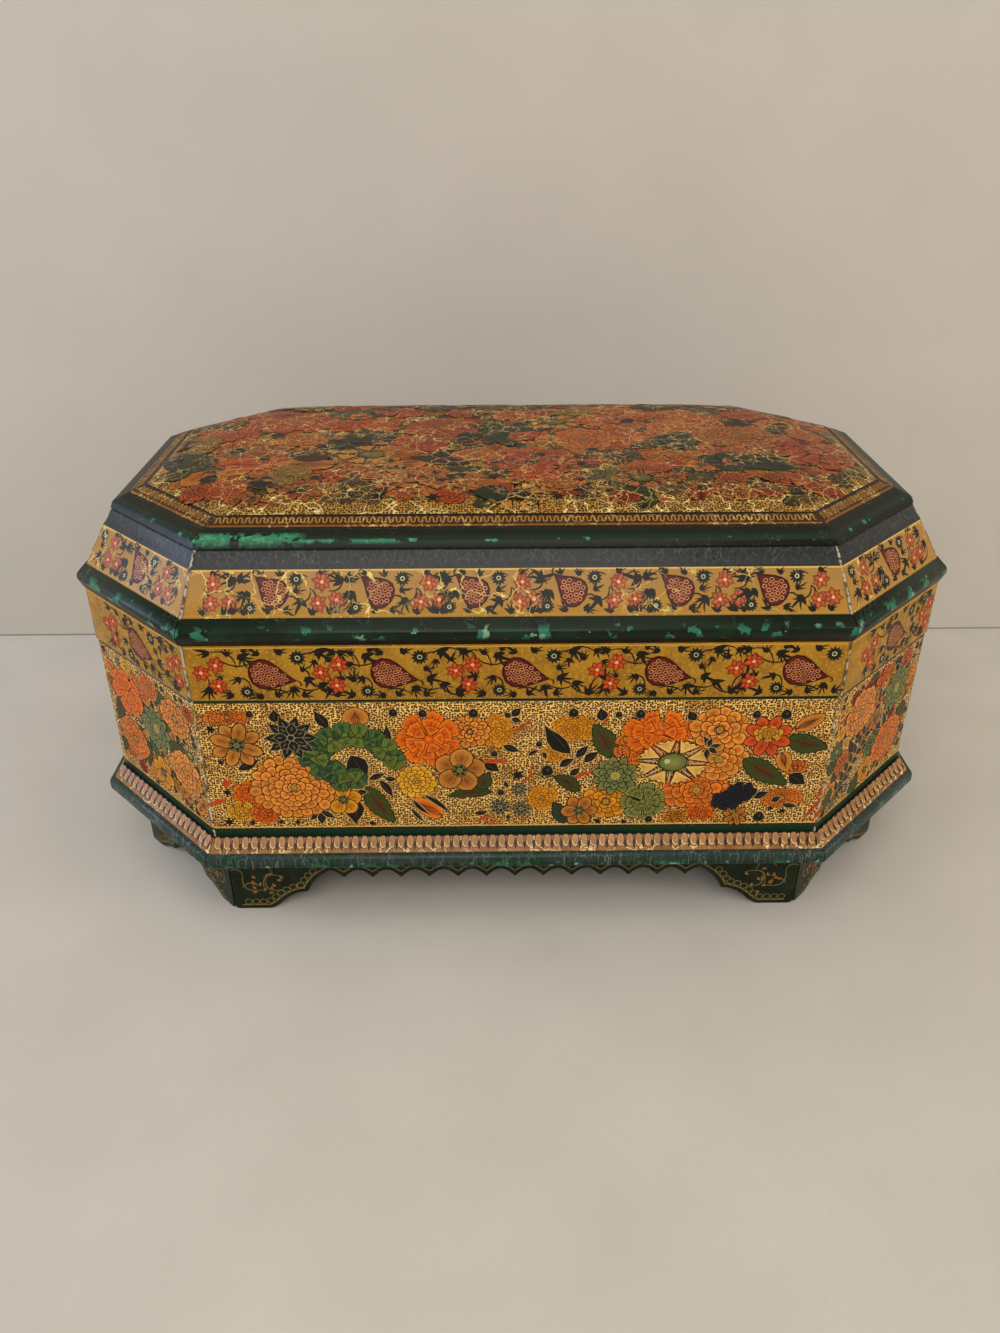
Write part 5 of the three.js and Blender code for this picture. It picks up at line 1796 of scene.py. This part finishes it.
for face, spec in FACES.items():
    rnd = random.Random(f"feet {face}")
    film = new_film()
    outline = board_outlines[face]
    outline = spaced(np.vstack([outline, outline[:1]]), 0.8)[:-1]
    half, top = np.abs(outline[:, 0]).max(), outline[:, 1].max()
    for x, y in spaced(drawn_in(outline, CIRCLES_IN), 3.0):
        if y < 20 and abs(x) < half - 4:
            flake(film, disc(x, y, 1.55, 8), shade("#8a7a3c"), shade("#172010"), shade("#172010"), 0.26)
    for x, y in spaced(drawn_in(outline, SCALES_IN), 1.5):
        if 20 < y < top - 3:
            ribbon(film, [(x, y), (x, y + 0.9), (x, y + 1.8)], 0.24, shade("#6e5c2e"))
    path = drawn_in(outline, LINE_IN)
    path = path[(np.abs(path[:, 0]) < half - 3) & (path[:, 1] < top - 3)]
    jumps = np.flatnonzero(np.linalg.norm(np.diff(path, axis=0), axis=1) > 2.4) + 1
    for run in np.split(path, jumps):
        if len(run) > 4:
            ribbon(film, spaced(run, 1.2), 0.42, shade("#6c5a2a"), shade("#9a8444"), False)
    for end in (1, -1):
        x, y = end * (half - 13), 13
        for x0, y0, x1, y1, bend in SCROLL:
            scroll = curl((x + end * x0, y + y0), (x + end * x1, y + y1), end * bend, 9)
            ribbon(film, scroll, 0.45, shade("#7c6e38"))
        for k in range(14):
            far = rnd.uniform(1.5, 9)
            place = polar(x, y, end * far, 0.9 * k, 0.7 * far)
            flake(film, stroke(LEAF, place, polar(*place, 2.6, 2.1 * k), 1.5, 0.1),
                  shade("#2c1c0c"), shade("#a4703a"), shade("#7c5026"), 0.15)
    hang(film, f"paint_bracket_{face}", upright(BOARD_FACE), spec["place"], "casket", plain_gouache)
print("feet lined")

# %% [markdown]
# ## Backdrop, camera and light
# The casket stands on a pale table close in front of a pale wall. The wall is one-sided: its back lets the
# eye through, so that the casket can be looked at from behind as well.

# %% Table and wall
WALL_Y = 0.152
STAGE_SIZE = 8


def stage_plane(name, place, turn, dark, light, joint):
    """A plane of the backdrop. Joint is where its dark joint line runs, between two distances in mm."""
    bpy.ops.object.select_all(action="DESELECT")
    bpy.ops.mesh.primitive_plane_add(size=STAGE_SIZE, location=place, rotation=turn)
    plane = bpy.context.object
    plane.name = name
    material, tree, shader, where = new_finish(f"matt paper of the {name}", 0.9)
    across = add(tree, "ShaderNodeSeparateXYZ", {0: where}).outputs["Y"]
    colour_with(tree, shader, paint_over(tree, tone(light), [
        (patches(tree, where, 60, 0.3, 0.7), dark),
        (patches(tree, where, 1.5, 0.3, 0.7), dark, 0.5),
        (band(tree, across, *joint, 0.4), "#7d7568", 0.8),
    ]))
    plane.data.materials.append(material)
    return plane, tree, shader


table, *_ = stage_plane("table", (0, 0, 0), (0, 0, 0), "#c2bcb2", "#cbc5bb", (151.4, 153))
wall, tree, shader = stage_plane(
    "wall", (0, WALL_Y, 2), (math.radians(90), 0, 0), "#c5beb4", "#cbc4ba", (-2001, -1999.4))
back = add(tree, "ShaderNodeNewGeometry").outputs["Backfacing"]
see_past = add(tree, "ShaderNodeMixShader", {
    0: back, 1: shader.outputs[0], 2: add(tree, "ShaderNodeBsdfTransparent").outputs[0]})
tree.links.new(see_past.outputs[0], tree.nodes["Material Output"].inputs["Surface"])
print("stage:", table.name, wall.name)

# %% Camera
CAMERA_PLACE = (-0.00975, -0.4074, 0.2912)
PAN, TILT, ROLL = (math.radians(angle) for angle in (-0.70, 60.55, -0.10))
bpy.ops.object.camera_add(location=CAMERA_PLACE)
camera = bpy.context.object
camera.data.sensor_width = 36
camera.data.lens = 27.63
aim = Matrix.Rotation(PAN, 3, "Z") @ Matrix.Rotation(TILT, 3, "X")
camera.rotation_euler = (aim @ Matrix.Rotation(ROLL, 3, "Z")).to_euler()
bpy.context.scene.camera = camera
print("camera at", tuple(round(c, 4) for c in camera.location))

# %% [markdown]
# A wide soft lamp overhead gives the upper sides their pale sheen, one in front lights the painting, and
# one at each side fills in. A low cool window close at the left puts the bluish light on the cut corner
# there.

# %% Light
def soft_lamp(name, place, aim, size, power, colour):
    lamp = bpy.data.lights.new(name, "AREA")
    lamp.shape = "RECTANGLE"
    lamp.size, lamp.size_y = size
    lamp.energy = power
    lamp.color = tone(colour)[:3]
    holder = new_object(name, lamp)
    holder.location = place
    holder.rotation_euler = (Vector(aim) - Vector(place)).to_track_quat("-Z", "Y").to_euler()
    return holder


soft_lamp("overhead", (0.0, -0.5, 1.4), (0, -0.1, 0.05), (1.6, 1.2), 6.5, "#fffaf2")
soft_lamp("front", (-0.2, -1.45, 1.2), (0, 0, 0.1), (1.4, 1.0), 13.8, "#fffbf4")
soft_lamp("left window", (-1.4, -0.5, 0.6), (0, 0, 0.1), (0.8, 1.0), 4.6, "#dfe9ff")
soft_lamp("right side", (1.4, -0.6, 0.6), (0, 0, 0.1), (0.8, 1.0), 7.6, "#fff8f0")
soft_lamp("low window", (-0.95, 0.02, 0.32), (-0.14, -0.08, 0.13), (0.22, 0.5), 1.8, "#c4daff")
world = bpy.data.worlds.new("room")
bpy.context.scene.world = world
world.use_nodes = True
world.node_tree.nodes["Background"].inputs["Color"].default_value = tone("#e9e4da")
world.node_tree.nodes["Background"].inputs["Strength"].default_value = 0.27
bpy.context.scene.view_settings.view_transform = "Standard"
